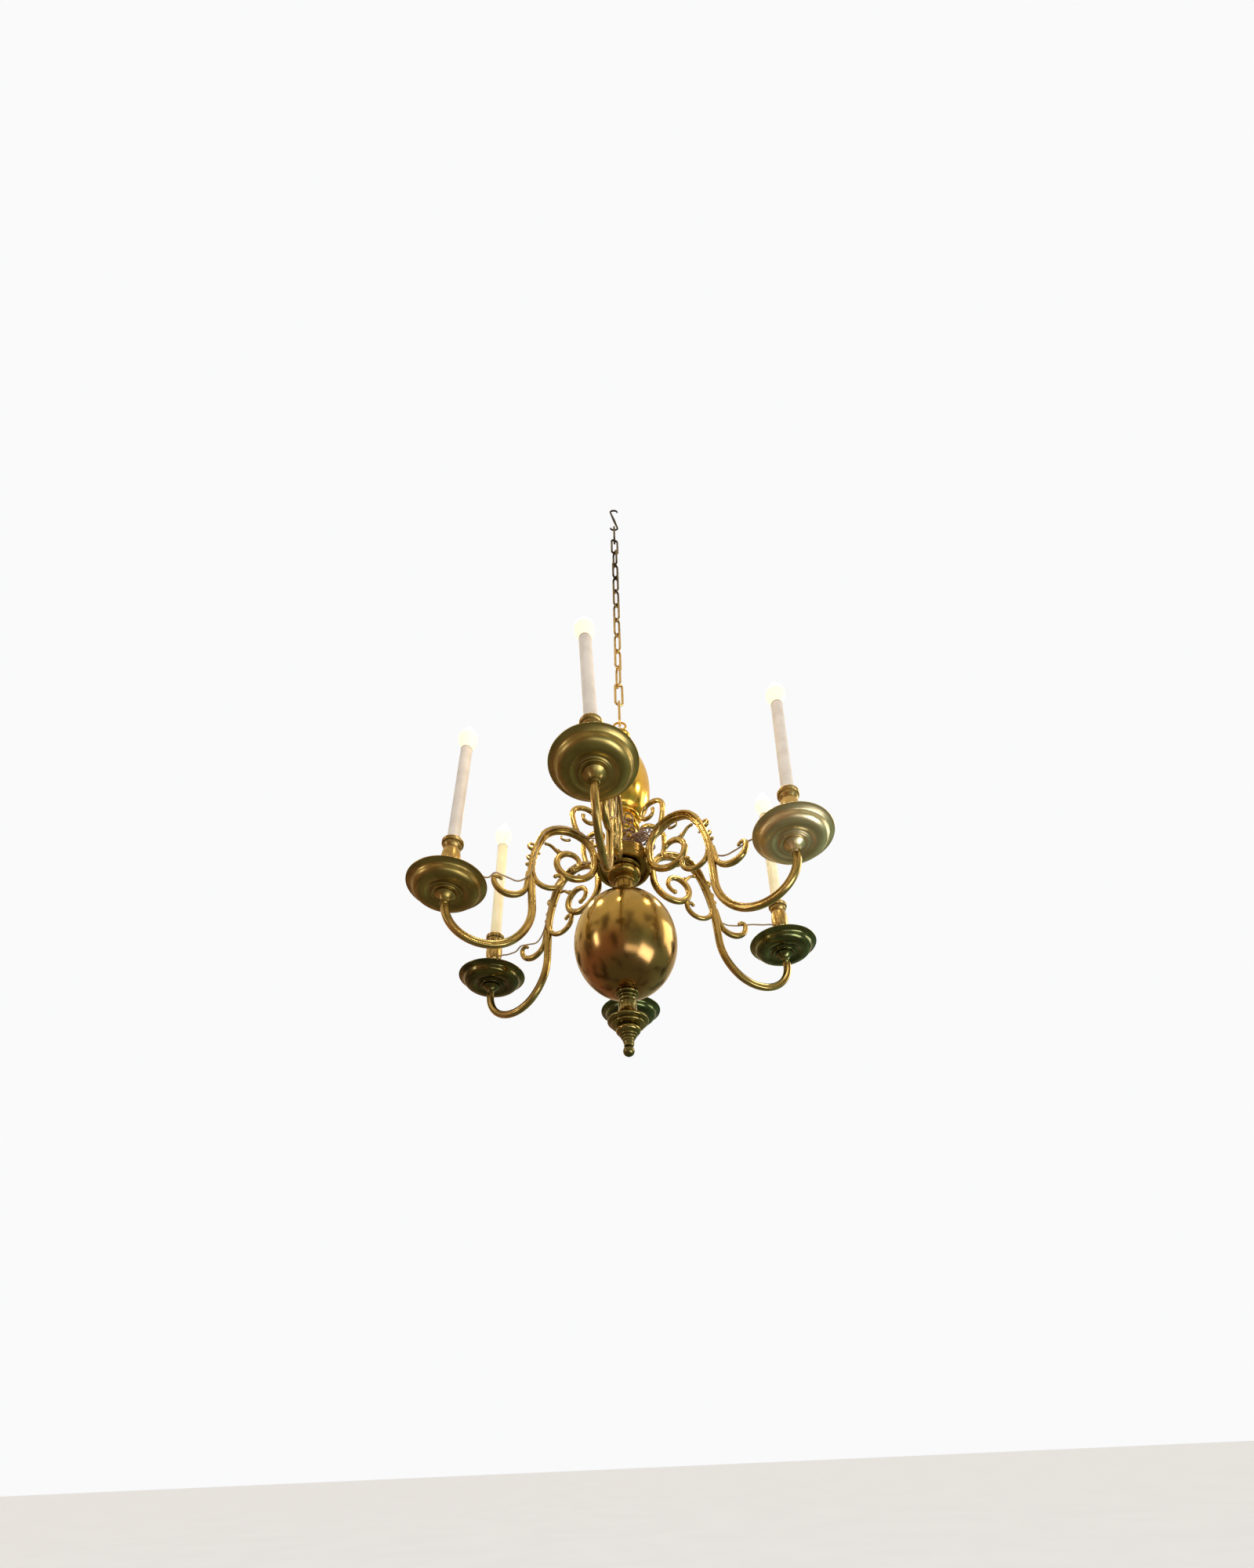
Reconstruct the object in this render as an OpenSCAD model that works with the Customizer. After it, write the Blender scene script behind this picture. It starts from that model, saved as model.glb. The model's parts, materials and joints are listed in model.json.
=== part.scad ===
// Six-arm brass chandelier on a link chain. Millimetres, +Z up.
// The origin is the point where the top hook bears on the ceiling eye; everything hangs below it.

/* [Hanging] */
// Top hook, from its upper bearing point to its lower one
hook_reach = 127; // [80:1:180]
// Diameter of the hook's iron wire
hook_wire = 5; // [4:0.5:8]
// Inner radius of the hook's two crooks
hook_crook_r = 8; // [6:0.5:14]
// Number of chain links (odd)
chain_links = 13; // [7:2:17]
// Height that each link adds to the chain
link_pitch = 74; // [50:1:100]
// Outer width of a link
link_width = 23; // [19:0.5:32]
// Diameter of the link wire
link_wire = 4.5; // [3:0.5:5.5]
// Largest twist of the links off a plain crossed chain, degrees
chain_twist = 45; // [0:5:45]

/* [Stem] */
// Diameter of the iron rod that the stem pieces are threaded on
rod_d = 10; // [8:0.5:12]
// Gap round the rod in each turned piece
rod_gap = 0.2; // [0.1:0.05:0.5]
// Wire of the lifting eye on top of the stem
eye_wire = 5; // [4:0.5:7]
// Inner radius of the lifting eye
eye_r = 11; // [9:0.5:16]
// Height of the vase
vase_h = 309; // [240:1:380]
// Largest diameter of the vase
vase_d = 119; // [90:1:140]
// Height of the wiring collar under the vase
collar_h = 79; // [60:1:100]
// Largest diameter of the collar's half-round band
collar_d = 64; // [58:1:76]
// Diameter of the hub drum
drum_d = 104; // [90:1:130]
// Height of the hub drum
drum_h = 33; // [28:1:44]
// Depth of the hollow under the drum
drum_hollow = 9; // [6:1:14]
// Height of the knob and neck between drum and globe
knob_h = 79; // [66:1:100]
// Diameter of the knob
knob_d = 66; // [54:1:78]
// Diameter of the globe
globe_d = 184; // [140:1:220]
// Height of the globe between its two seats
globe_h = 210; // [160:1:250]
// Wall of the hollow globe
globe_wall = 1.5; // [1:0.1:3]
// Height of the ringed collar under the globe
ring_collar_h = 26; // [20:1:34]
// Height of the turned pendant
pendant_h = 66; // [54:1:84]
// Diameter of the pendant's wide moulding
pendant_d = 69; // [56:1:84]
// Diameter of the finial ball
finial_d = 19; // [17:0.5:24]

/* [Arms] */
// Distance from the centre line to a candle
arm_reach = 330; // [290:1:420]
// Diameter of the arm where it carries the candle
arm_d = 14; // [12:0.5:15]
// Radius of the arm's crown beside the hub
crown_r = 52; // [48:1:58]
// Straight part of the arm's stem
stem_len = 70; // [55:1:100]
// Straight part of the arm below the candle
tip_len = 21; // [16:1:40]
// Thickness of the lug that holds an arm in the drum
lug_w = 9; // [7:0.5:12]
// Gap round the lug in its slot
lug_gap = 0.2; // [0.1:0.05:0.5]
// Bearing of the first arm about the centre line, degrees
arm_start = -95.6; // [-180:0.1:180]
// How far each arm stands off its even place, degrees
arm_swing = [-1.1, -3.2, 2.3, 4.2, -3.2, 1];
// How far each arm has risen or settled at the hub, degrees
arm_lift = [1.2, -4.4, -0.7, -0.3, 3.5, 0.9];
// Lean of each candle away from the centre line, degrees
lean_out = [-2.8, 0.5, -0.1, 0, 0.9, 2.6];
// Lean of each candle along the circle of candles, degrees
lean_along = [-3.1, -1.6, 1.4, 0.2, -2, 3.7];

/* [Candles] */
// Diameter of a drip pan
pan_d = 132; // [110:1:150]
// Depth of a drip pan
pan_h = 25; // [18:1:34]
// Wall of a drip pan
pan_wall = 1.6; // [1:0.1:3]
// Height of a candle cup, from the pan to its top edge
cup_h = 125; // [90:1:140]
// Diameter of the cup's top ring
cup_d = 38; // [34:1:46]
// Depth of the socket in the cup
cup_socket = 50; // [30:1:60]
// Outer diameter of a candle sleeve
sleeve_d = 22; // [20:0.5:26]
// Wall of a candle sleeve
sleeve_wall = 1; // [0.6:0.1:1.5]
// Gap between the sleeve and the pieces it fits
sleeve_gap = 0.3; // [0.1:0.05:0.5]
// Height of the sleeve's top edge above the pan's bottom
sleeve_top = 386; // [300:1:450]
// Diameter of the threaded nipple under each candle
nipple_d = 10; // [8:0.5:12]
// Diameter of the screw cap of a lamp
cap_d = 13.8; // [13:0.1:14.2]
// Gap round the screw cap in its lampholder
cap_gap = 0.3; // [0.2:0.05:0.4]
// Diameter of a candle lamp
bulb_d = 37; // [30:0.5:45]
// Height of a lamp's glass above the sleeve
bulb_h = 75; // [60:1:100]

/* [Wiring] */
// Diameter of the flex on each arm
flex_d = 3; // [2:0.5:3.5]
// Diameter of a wire in the coil above the drum
coil_wire = 3.2; // [2:0.2:4]
// Turns of wire in the coil
coil_turns = 6; // [3:1:7]

/* [Hidden] */
ARM_COUNT = 6;
SIDES = ["1", "2", "3", "4", "5", "6"];
ARM_PARTS = ["arm_", "drip_pan_", "candle_cup_", "candle_sleeve_", "lampholder_", "bulb_", "arm_flex_"];

$fn = 48;
BRASS = [0.72, 0.55, 0.25];
OLIVE_BRASS = [0.45, 0.38, 0.18];
IRON = [0.16, 0.13, 0.11];
IVORY = [0.93, 0.89, 0.8];
LAMP_WHITE = [1, 0.95, 0.78];
GREY_HOLDER = [0.85, 0.83, 0.78];
WIRE_BROWN = [0.32, 0.18, 0.16];

contact_gap = 0.3;      // between two links, which touch when loaded
seat_gap = 0.05;        // between pieces that are clamped face to face
bore_d = rod_d + 2 * rod_gap;
spool_r = 24;           // of the collar's narrow part, which carries the coil of wire

// Heights, from the ceiling bearing point down.
chain_top_z = -hook_reach;
eye_top_z = chain_top_z - chain_links * link_pitch;
eye_centre_z = eye_top_z + contact_gap - eye_r;
eye_shank = 30;        // from the eye's centre down to the vase
eye_socket = 12;       // how far the rod is screwed into the eye's shank
vase_top_z = eye_centre_z - eye_shank;
collar_top_z = vase_top_z - vase_h;
drum_top_z = collar_top_z - collar_h;
drum_bottom_z = drum_top_z - drum_h;
knob_top_z = drum_bottom_z + drum_hollow;
globe_top_z = knob_top_z - knob_h;
ring_collar_top_z = globe_top_z - globe_h;
pendant_top_z = ring_collar_top_z - ring_collar_h;
finial_top_z = pendant_top_z - pendant_h;
finial_h = 31;
rod_in_finial = 14;

// Arms: they leave the drum's edge at the height of the lug.
drum_r = drum_d / 2;
lug_h = drum_h - drum_hollow - 7;
lug_z = drum_bottom_z + drum_hollow + 2 + lug_h / 2;
lug_in = 14;
volute_r = 6.5;         // radius of the arm's inner spiral where it leaves the lug
arm_gap = 2.2;
pivot_r = drum_r + arm_gap;
root_r = pivot_r + volute_r;
arm_r = arm_d / 2;
sweep_turn = 28;
sweep_r = crown_r * 4.2;
stem_r_place = root_r + crown_r + crown_r * cos(sweep_turn) + sweep_r * (1 - cos(sweep_turn));
bend_lead = 1.53;       // the inner part of the bottom bend is this much wider than the outer part
bend_r = (arm_reach - stem_r_place) / (bend_lead * (1 - cos(45)) + 1 + cos(45));

// Screws that hold the arm lugs.
screw_d = 5;
screw_gap = 0.1;
screw_head_d = 9;
screw_head_h = 3;
screw_r_place = drum_r - lug_in / 2;

// Candle fittings, measured up from the bottom of the drip pan.
funnel_h = 20;
funnel_r = 17;
nipple_down = 13;
nipple_up = 34;
nipple_gap = 0.2;
cup_foot_z = 3;
socket_floor_z = cup_h + 2 - cup_socket;
holder_h = 52;
holder_rim_h = 2;
cap_len = 25;

// Chain ------------------------------------------------------------------------------------

link_in_r = link_width / 2 - link_wire;
link_mid_r = link_in_r + link_wire / 2;
link_straight = link_pitch + contact_gap - 2 * link_in_r;
first_lower = (chain_links + 3) / 2;

// The twist grows over the first links and dies away over the last.
function twist(k) = chain_twist * min(1, (k - 1) / 3, (chain_links - k) / 3);
function link_angle(k) = (k % 2 == 1 ? 90 : 0) + twist(k);
function link_top_z(k) = chain_top_z + contact_gap - (k - 1) * link_pitch;

// One closed link whose inner top is at the origin, lying in the XZ plane.
module link() {
    translate([0, 0, -link_in_r]) rotate([90, 0, 0])
        rotate_extrude(angle = 180) translate([link_mid_r, 0]) circle(d = link_wire);
    translate([0, 0, -link_in_r - link_straight]) rotate([90, 180, 0])
        rotate_extrude(angle = 180) translate([link_mid_r, 0]) circle(d = link_wire);
    for (side = [-1, 1])
        translate([side * link_mid_r, 0, -link_in_r - link_straight])
            cylinder(h = link_straight, d = link_wire);
}

module links(first, last) {
    for (k = [first:last])
        translate([0, 0, link_top_z(k)]) rotate([0, 0, link_angle(k)]) link();
}

// An S-hook of bent wire with two round crooks and rounded tips.
module ceiling_hook() {
    mid_r = hook_crook_r + hook_wire / 2;
    wire_r = hook_wire / 2;
    crooks_apart = hook_reach - 2 * hook_crook_r;
    tilt = asin(2 * mid_r / crooks_apart);
    shank = sqrt(pow(crooks_apart, 2) - 4 * mid_r * mid_r);
    color(IRON) {
        bent_rod(
            [mid_r, -hook_crook_r, 90],
            [[mid_r, 180 + tilt, wire_r], [0, shank, wire_r], [mid_r, -180 - tilt, wire_r]]
        );
        for (tip = [[mid_r, -hook_crook_r], [-mid_r, hook_crook_r - hook_reach]])
            translate([tip[0], 0, tip[1]]) sphere(r = wire_r + bead_over);
    }
}

module chain_link_top() { color(IRON) links(1, 1); }
module chain_upper() { color(BRASS) links(2, first_lower - 1); }
module chain_lower() { color(BRASS) links(first_lower, chain_links - 1); }
module chain_link_bottom() { color(BRASS) links(chain_links, chain_links); }

// Turned stem pieces -----------------------------------------------------------------------

// Points of an arc about (r, z), as [r, z] pairs.
function arc(r, z, rad, from, to, n = 10) =
    [for (i = [0:n]) let (a = from + (to - from) * i / n) [r + rad * cos(a), z + rad * sin(a)]];
// The same for an oval with half-width a_r and half-height a_z.
function oval(r, z, a_r, a_z, from, to, n = 16) =
    [for (i = [0:n]) let (a = from + (to - from) * i / n) [r + a_r * cos(a), z + a_z * sin(a)]];

// Turns an outline of [r, z] points, listed from the top down, closed on the axis.
module turned(outline, hole_d = 0, z = 0) {
    top = outline[0][1];
    low = outline[len(outline) - 1][1];
    translate([0, 0, z]) difference() {
        rotate_extrude() polygon(concat([[0, top]], outline, [[0, low]]));
        if (hole_d > 0)
            translate([0, 0, low - 1]) cylinder(h = top - low + 2, d = hole_d);
    }
}

module stem_eye() {
    shank_wall = 3;
    color(BRASS) difference() {
        union() {
            translate([0, 0, eye_centre_z]) rotate([90, 0, 0])
                rotate_extrude() translate([eye_r + eye_wire / 2, 0]) circle(d = eye_wire);
            translate([0, 0, vase_top_z + seat_gap])
                cylinder(h = eye_shank - eye_r - eye_wire / 2, r = rod_d / 2 + shank_wall);
        }
        translate([0, 0, vase_top_z - 1]) cylinder(h = eye_socket + 1 + seat_gap, d = bore_d);
    }
}

module centre_rod() {
    low_z = finial_top_z - rod_in_finial;
    color(IRON) translate([0, 0, low_z]) cylinder(h = vase_top_z + eye_socket - seat_gap - low_z, d = rod_d);
}

module vase() {
    belly_r = vase_d / 2;
    belly_z = vase_h * 0.39;
    foot_r = 34;
    neck_r = 17;
    neck_z = vase_h - 43;
    wall = 2;
    outline = concat(
        [[9, vase_h], [13, vase_h - 2]],
        arc(neck_r - 1, vase_h - 10, 7, 80, -60, 8),
        [[neck_r - 2, neck_z + 22], [neck_r + 4, neck_z + 16], [neck_r + 6, neck_z + 12]],
        [[neck_r + 3, neck_z + 8], [neck_r, neck_z]],
        oval(neck_r + 6, belly_z, belly_r - neck_r - 6, neck_z - belly_z - 40, 72, 0, 14),
        oval(30, belly_z, belly_r - 30, belly_z - 36, -8, -76, 12),
        [[28, 26], [29, 12], [foot_r, 9], [foot_r, 3], [foot_r - 3, 0]]
    );
    hollow = concat(
        [[0, neck_z - 12], [neck_r - 3, neck_z - 12]],
        oval(neck_r + 6, belly_z, belly_r - neck_r - 6 - wall, neck_z - belly_z - 40 - wall, 72, 0, 14),
        oval(30, belly_z, belly_r - 30 - wall, belly_z - 36 - wall, -8, -76, 12),
        [[0, 36 + wall]]
    );
    color(BRASS) difference() {
        turned(outline, bore_d, collar_top_z + seat_gap);
        translate([0, 0, collar_top_z + seat_gap]) rotate_extrude() polygon(hollow);
    }
}

module vase_collar() {
    band_r = collar_d / 2;
    band_h = 32;
    outline = concat(
        [[band_r - 4, collar_h]],
        arc(band_r - 11, collar_h - 2 - band_h / 2 + 2, 11, 75, -80, 12),
        [[spool_r + 1, collar_h - band_h], [spool_r, collar_h - band_h - 3]],
        [[spool_r, 4], [spool_r + 4, 0]]
    );
    color(BRASS) turned(outline, bore_d, drum_top_z + seat_gap);
}

// Places its children at the bearing of arm i.
module at_arm(i) { rotate([0, 0, arm_start - i * 360 / ARM_COUNT + arm_swing[i]]) children(); }

module hub_drum() {
    groove = 0.8;
    groove_step = 4;
    hollow_r = drum_r - 7;
    color(BRASS) difference() {
        translate([0, 0, drum_bottom_z]) cylinder(h = drum_h, r = drum_r);
        translate([0, 0, drum_bottom_z - 1]) cylinder(h = drum_hollow + 1, r = hollow_r);
        translate([0, 0, drum_bottom_z - 1]) cylinder(h = drum_h + 2, d = bore_d);
        for (z = [groove_step:groove_step:drum_h - groove_step])
            translate([0, 0, drum_bottom_z + z])
                rotate_extrude() translate([drum_r + 0.2, 0]) circle(r = groove);
        for (i = [0:ARM_COUNT - 1]) at_arm(i) {
            translate([drum_r - lug_in, -lug_w / 2 - lug_gap, lug_z - lug_h / 2 - lug_gap])
                cube([lug_in + 1, lug_w + 2 * lug_gap, lug_h + 2 * lug_gap]);
            translate([screw_r_place, 0, lug_z]) cylinder(h = drum_h, d = screw_d + 2 * screw_gap);
        }
    }
}

module hub_knob() {
    knob_r = knob_d / 2;
    neck_r = 18;
    foot_r = 24;
    knob_low = 46;
    outline = concat(
        [[20, knob_h - 2 * seat_gap], [20, knob_h - 3], [knob_r - 6, knob_h - 3], [knob_r - 3, knob_h - 6]],
        oval(neck_r, knob_low + 16, knob_r - neck_r, 16, 55, -90, 14),
        [[neck_r, knob_low - 4], [neck_r + 3, knob_low - 7], [neck_r, knob_low - 10]],
        arc(neck_r + 12, 18, 12, 180, 240, 6),
        [[foot_r + 2, 5], [foot_r + 2, 0]]
    );
    color(OLIVE_BRASS) turned(outline, bore_d, globe_top_z + seat_gap);
}

module globe() {
    half_h = globe_h / 2;
    seat_r = 25;
    // The oval is cut flat where its radius has come down to the seat's.
    rise = half_h / sqrt(1 - pow(seat_r / (globe_d / 2), 2));
    cut = asin(half_h / rise);
    inner_cut = asin((half_h - globe_wall) / (rise - globe_wall));
    mid_z = ring_collar_top_z + half_h;
    color(OLIVE_BRASS) translate([0, 0, mid_z]) difference() {
        rotate_extrude()
            polygon(concat([[0, half_h]], oval(0, 0, globe_d / 2, rise, cut, -cut, 40), [[0, -half_h]]));
        rotate_extrude() polygon(concat(
            [[0, half_h - globe_wall]],
            oval(0, 0, globe_d / 2 - globe_wall, rise - globe_wall, inner_cut, -inner_cut, 40),
            [[0, globe_wall - half_h]]
        ));
        translate([0, 0, -half_h - 1]) cylinder(h = globe_h + 2, d = bore_d);
    }
}

module ring_collar() {
    outline = concat(
        arc(17.5, ring_collar_h - 3.2, 3, 90, -90, 8),
        arc(14, ring_collar_h - 9, 2.6, 80, -90, 8),
        arc(23, ring_collar_h - 17, 9, 160, 220, 6),
        [[16, 0]]
    );
    color(OLIVE_BRASS) turned(outline, bore_d, pendant_top_z + seat_gap);
}

module pendant() {
    wide_r = pendant_d / 2;
    second_r = wide_r * 0.81;
    body_r = 20.5;
    outline = concat(
        [[16, pendant_h], [18, pendant_h - 22], [26, pendant_h - 27]],
        arc(wide_r - 3, pendant_h - 32, 3, 90, -80, 8),
        arc(second_r - 3.5, pendant_h - 38.5, 3, 60, -90, 8),
        oval(12, pendant_h - 48, body_r - 12, 8, 70, -40, 10),
        [[15, pendant_h - 58], [15, pendant_h - 59.5]],
        arc(10.5, pendant_h - 62, 2.2, 70, -80, 6),
        [[9.7, 0]]
    );
    color(OLIVE_BRASS) turned(outline, bore_d, finial_top_z + seat_gap);
}

module finial_nut() {
    ball_r = finial_d / 2;
    ball_z = ball_r;
    neck_r = bore_d / 2 + 2.3;
    color(OLIVE_BRASS) translate([0, 0, finial_top_z - finial_h]) difference() {
        rotate_extrude() polygon(concat(
            [[0, finial_h], [9.7, finial_h], [9.7, finial_h - 2], [8.4, finial_h - 4]],
            [[8.6, finial_h - 6], [neck_r, finial_h - 8]],
            arc(0, ball_z, ball_r, asin(neck_r / ball_r * 0.99) * -1 + 90, -90, 16)
        ));
        translate([0, 0, finial_h - 15]) cylinder(h = 16, d = bore_d);
    }
}

// Arms -------------------------------------------------------------------------------------
// An arm is drawn in its own upright plane: X is the distance from the centre line, Z the height.

// A path is a start [x, z, heading] and a list of [radius, turn, tube radius];
// a radius of 0 is a straight whose length stands in place of the turn.
function step(s, seg) = seg[0] == 0
    ? [s[0] + seg[1] * cos(s[2]), s[1] + seg[1] * sin(s[2]), s[2]]
    : let (side = sign(seg[1]), cx = s[0] - side * seg[0] * sin(s[2]), cz = s[1] + side * seg[0] * cos(s[2]),
           h = s[2] + seg[1])
        [cx + side * seg[0] * sin(h), cz - side * seg[0] * cos(h), h];
function walk(s, segs, i = 0) =
    i == len(segs) ? [s] : concat([s], walk(step(s, segs[i]), segs, i + 1));

// A bent rod along a path. Its straights and bends stop short of each other, and a bead joins each two.
bead_gap = 0.4;
bead_over = 0.25;
module bent_rod(start, segs, joined = false) {
    stops = walk(start, segs);
    last = len(segs) - 1;
    for (i = [0:last]) {
        s = stops[i];
        seg = segs[i];
        side = sign(seg[1]);
        lead = joined || i > 0 ? bead_gap : 0;
        cut = lead + (i < last ? bead_gap : 0);
        if (seg[0] == 0) {
            translate([s[0], 0, s[1]]) rotate([0, 90 - s[2], 0])
                translate([0, 0, lead]) cylinder(h = seg[1] - cut, r = seg[2]);
        } else {
            degrees = 180 / (PI * seg[0]);
            swept = abs(seg[1]) - cut * degrees;
            first = side > 0 ? s[2] - 90 + lead * degrees : s[2] + 90 - lead * degrees - swept;
            translate([s[0] - side * seg[0] * sin(s[2]), 0, s[1] + side * seg[0] * cos(s[2])])
                rotate([90, 0, 0]) rotate([0, 0, first])
                    rotate_extrude(angle = swept) translate([seg[0], 0]) circle(r = seg[2]);
        }
        if (joined || i > 0)
            translate([s[0], 0, s[1]]) sphere(r = max(seg[2], segs[max(i - 1, 0)][2]) + bead_over);
    }
}

// Scroll whose end is closed by a small ball.
module scroll(start, segs, ball_r, joined = false) {
    stops = walk(start, segs);
    last = stops[len(stops) - 1];
    bent_rod(start, segs, joined);
    translate([last[0], 0, last[1]]) sphere(r = ball_r);
}

arm_root = [root_r, lug_z, 90];
main_path = [
    [crown_r, sweep_turn - 180, arm_r],
    [sweep_r, -sweep_turn, arm_r],
    [0, stem_len, arm_r],
    [bend_lead * bend_r, 45, arm_r + 0.1],
    [bend_r, 135, arm_r + 0.2],
    [0, tip_len, arm_r]
];
arm_stops = walk(arm_root, main_path);
stem_x = arm_stops[2][0];
stem_z = arm_stops[2][1];
tip = arm_stops[len(arm_stops) - 1];
crown_x = root_r + crown_r;
// Inner spiral, from the arm's root down, under and back up.
spiral_path = [[0, crown_r * 0.385, volute_r], [46, 80, 6], [31, 160, 5.2], [19, 190, 4]];

// Frame of arm i, and frame of its candle at the arm's tip.
module arm_frame(i) {
    at_arm(i) translate([pivot_r, 0, lug_z]) rotate([0, -arm_lift[i], 0])
        translate([-pivot_r, 0, -lug_z]) children();
}
function lifted(i) =
    let (dx = tip[0] - pivot_r, dz = tip[1] - lug_z, a = arm_lift[i])
        [pivot_r + dx * cos(a) - dz * sin(a), 0, lug_z + dx * sin(a) + dz * cos(a)];
module candle_frame(i) {
    at_arm(i) translate(lifted(i)) rotate([-lean_along[i], lean_out[i], 0]) children();
}

module funnel() {
    rotate_extrude() polygon(concat(
        [[0, 0], [funnel_r, 0], [funnel_r, -1.2]],
        [for (k = [1:9]) let (t = k / 9) [
            arm_r + 0.3 + (funnel_r - arm_r - 0.3) * pow(1 - t, 2.4), -1.2 - (funnel_h - 1.2) * t
        ]],
        [[0, -funnel_h]]
    ));
}

module arm(i) {
    color(BRASS) difference() {
        union() {
            at_arm(i) translate([drum_r - lug_in + lug_gap, -lug_w / 2, lug_z - lug_h / 2])
                cube([lug_in + arm_gap + volute_r, lug_w, lug_h]);
            arm_frame(i) {
                bent_rod(arm_root, main_path, true);
                scroll([root_r, lug_z, -90], spiral_path, 5, true);
                // scroll that rises from the crown beside the stem and curls inwards
                scroll([crown_x - 28, lug_z + crown_r * 0.81, 66],
                    [[150, 24, 4.6], [25, 180, 4.2], [14, 200, 3.4]], 4.4);
                // scroll between the arm's stem and the spiral
                scroll([stem_x - 4, stem_z + 7, -90],
                    [[27, -180, 4], [7, -150, 3]], 4);
                // outer leaf scroll
                scroll([stem_x + 5, stem_z + 8, -83],
                    [[0, 32, 4.2], [29, 173, 4.4], [7, 150, 3.2]], 3.6);
                // tendril from the spiral to the underside of the crown, with its bud
                scroll([crown_x + 16, lug_z - 10, 48],
                    [[0, 19, 3.4], [16, -50, 3]], 3.8);
                translate([crown_x + 19, 0, lug_z - 3]) sphere(r = 5);
                // small buds where leaf and arm part
                translate([stem_x + 5, 0, stem_z + 44]) sphere(r = 5.2);
                translate([stem_x + 9, 0, stem_z + 14]) sphere(r = 4.6);
            }
            candle_frame(i) funnel();
        }
        at_arm(i) translate([screw_r_place, 0, lug_z - lug_h])
            cylinder(h = 2 * lug_h, d = screw_d + 2 * screw_gap);
        candle_frame(i) translate([0, 0, -nipple_down - 1])
            cylinder(h = nipple_down + 2, d = nipple_d + 2 * nipple_gap);
        // flat seat for the drip pan, which leans a little from the arm's own direction
        candle_frame(i) cylinder(h = arm_d, r = funnel_r);
    }
}

module drip_pan(i) {
    pan_r = pan_d / 2;
    floor_z = cup_foot_z - 2 * seat_gap;
    // Underside from the centre out: seat, raised ring, full belly, shallow groove, flat lip.
    under = concat(
        [[0, 0], [20, 0], [22.5, 0.6], [24, 2.2]],
        oval(24, pan_h * 0.62, pan_r * 0.83 - 24, pan_h * 0.54, -90, -12, 12),
        [[pan_r * 0.86, pan_h * 0.72], [pan_r * 0.93, pan_h * 0.86]],
        arc(pan_r - 1.4, pan_h - 1.4, 1.4, -60, 90, 6)
    );
    upper = [for (k = [len(under) - 8:-1:4]) under[k] + [-0.3, 1] * pan_wall];
    color(OLIVE_BRASS) candle_frame(i) translate([0, 0, seat_gap]) difference() {
        rotate_extrude() polygon(concat(under, upper, [[22, floor_z], [0, floor_z]]));
        translate([0, 0, -1]) cylinder(h = cup_foot_z + 2, d = nipple_d + 2 * nipple_gap);
    }
}

module candle_cup(i) {
    ring_r = cup_d / 2;
    body_r = ring_r - 2.5;
    socket_r = sleeve_d / 2 + sleeve_gap;
    top = cup_h + 2;
    outline = concat(
        [[ring_r - 3, top], [ring_r - 0.8, top - 1]],
        arc(ring_r - 3, top - 6, 3, 40, -60, 6),
        [[ring_r - 3.4, top - 11], [body_r, top - 14]],
        oval(10, top - 40, body_r - 10, 28, 60, -50, 10),
        [[9.5, top - 70]],
        arc(11, top - 76, 3.4, 70, -70, 6),
        [[9, top - 84], [10, top - 100], [17, cup_foot_z + 5], [17, cup_foot_z]]
    );
    color(OLIVE_BRASS) candle_frame(i) difference() {
        turned(outline, nipple_d + 2 * nipple_gap);
        translate([0, 0, socket_floor_z]) cylinder(h = cup_socket + 1, r = socket_r);
    }
}

module candle_sleeve(i) {
    color(IVORY) candle_frame(i) difference() {
        translate([0, 0, socket_floor_z + seat_gap])
            cylinder(h = sleeve_top - socket_floor_z - seat_gap, d = sleeve_d);
        translate([0, 0, socket_floor_z - 1])
            cylinder(h = sleeve_top - socket_floor_z + 2, d = sleeve_d - 2 * sleeve_wall);
    }
}

module lampholder(i) {
    stalk_d = 7;
    body_r = sleeve_d / 2 - sleeve_wall - sleeve_gap;
    bore_r = cap_d / 2 + cap_gap;
    color(GREY_HOLDER) candle_frame(i) difference() {
        union() {
            translate([0, 0, nipple_up + seat_gap])
                cylinder(h = sleeve_top - holder_h - nipple_up, d = stalk_d);
            translate([0, 0, sleeve_top - holder_h]) cylinder(h = holder_h + seat_gap, r = body_r);
            translate([0, 0, sleeve_top + seat_gap]) cylinder(h = holder_rim_h, r = sleeve_d / 2 + 0.4);
        }
        translate([0, 0, sleeve_top - cap_len - contact_gap]) cylinder(h = cap_len + 10, r = bore_r);
    }
}

module bulb(i) {
    glass_r = bulb_d / 2;
    base_z = sleeve_top + holder_rim_h + 1;
    neck_r = 9;
    wide = bulb_h * 0.4;
    outline = concat(
        oval(0, wide, glass_r, bulb_h - holder_rim_h - 1 - wide, 90, 0, 14),
        [for (k = [1:8]) let (t = k / 8) [
            neck_r + (glass_r - neck_r) * (1 - t) * (1 + t), wide * (1 - t)
        ]]
    );
    color(LAMP_WHITE) candle_frame(i) {
        translate([0, 0, base_z]) rotate_extrude() polygon(concat(outline, [[0, 0]]));
        translate([0, 0, sleeve_top - cap_len + 4]) cylinder(h = cap_len - 4 + base_z - sleeve_top, d = cap_d);
        translate([0, 0, sleeve_top - cap_len]) cylinder(h = 5, d = cap_d * 0.55);
    }
}

module candle_nipples() {
    color(IRON) for (i = [0:ARM_COUNT - 1]) candle_frame(i)
        translate([0, 0, -nipple_down]) cylinder(h = nipple_down + nipple_up, d = nipple_d);
}

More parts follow.
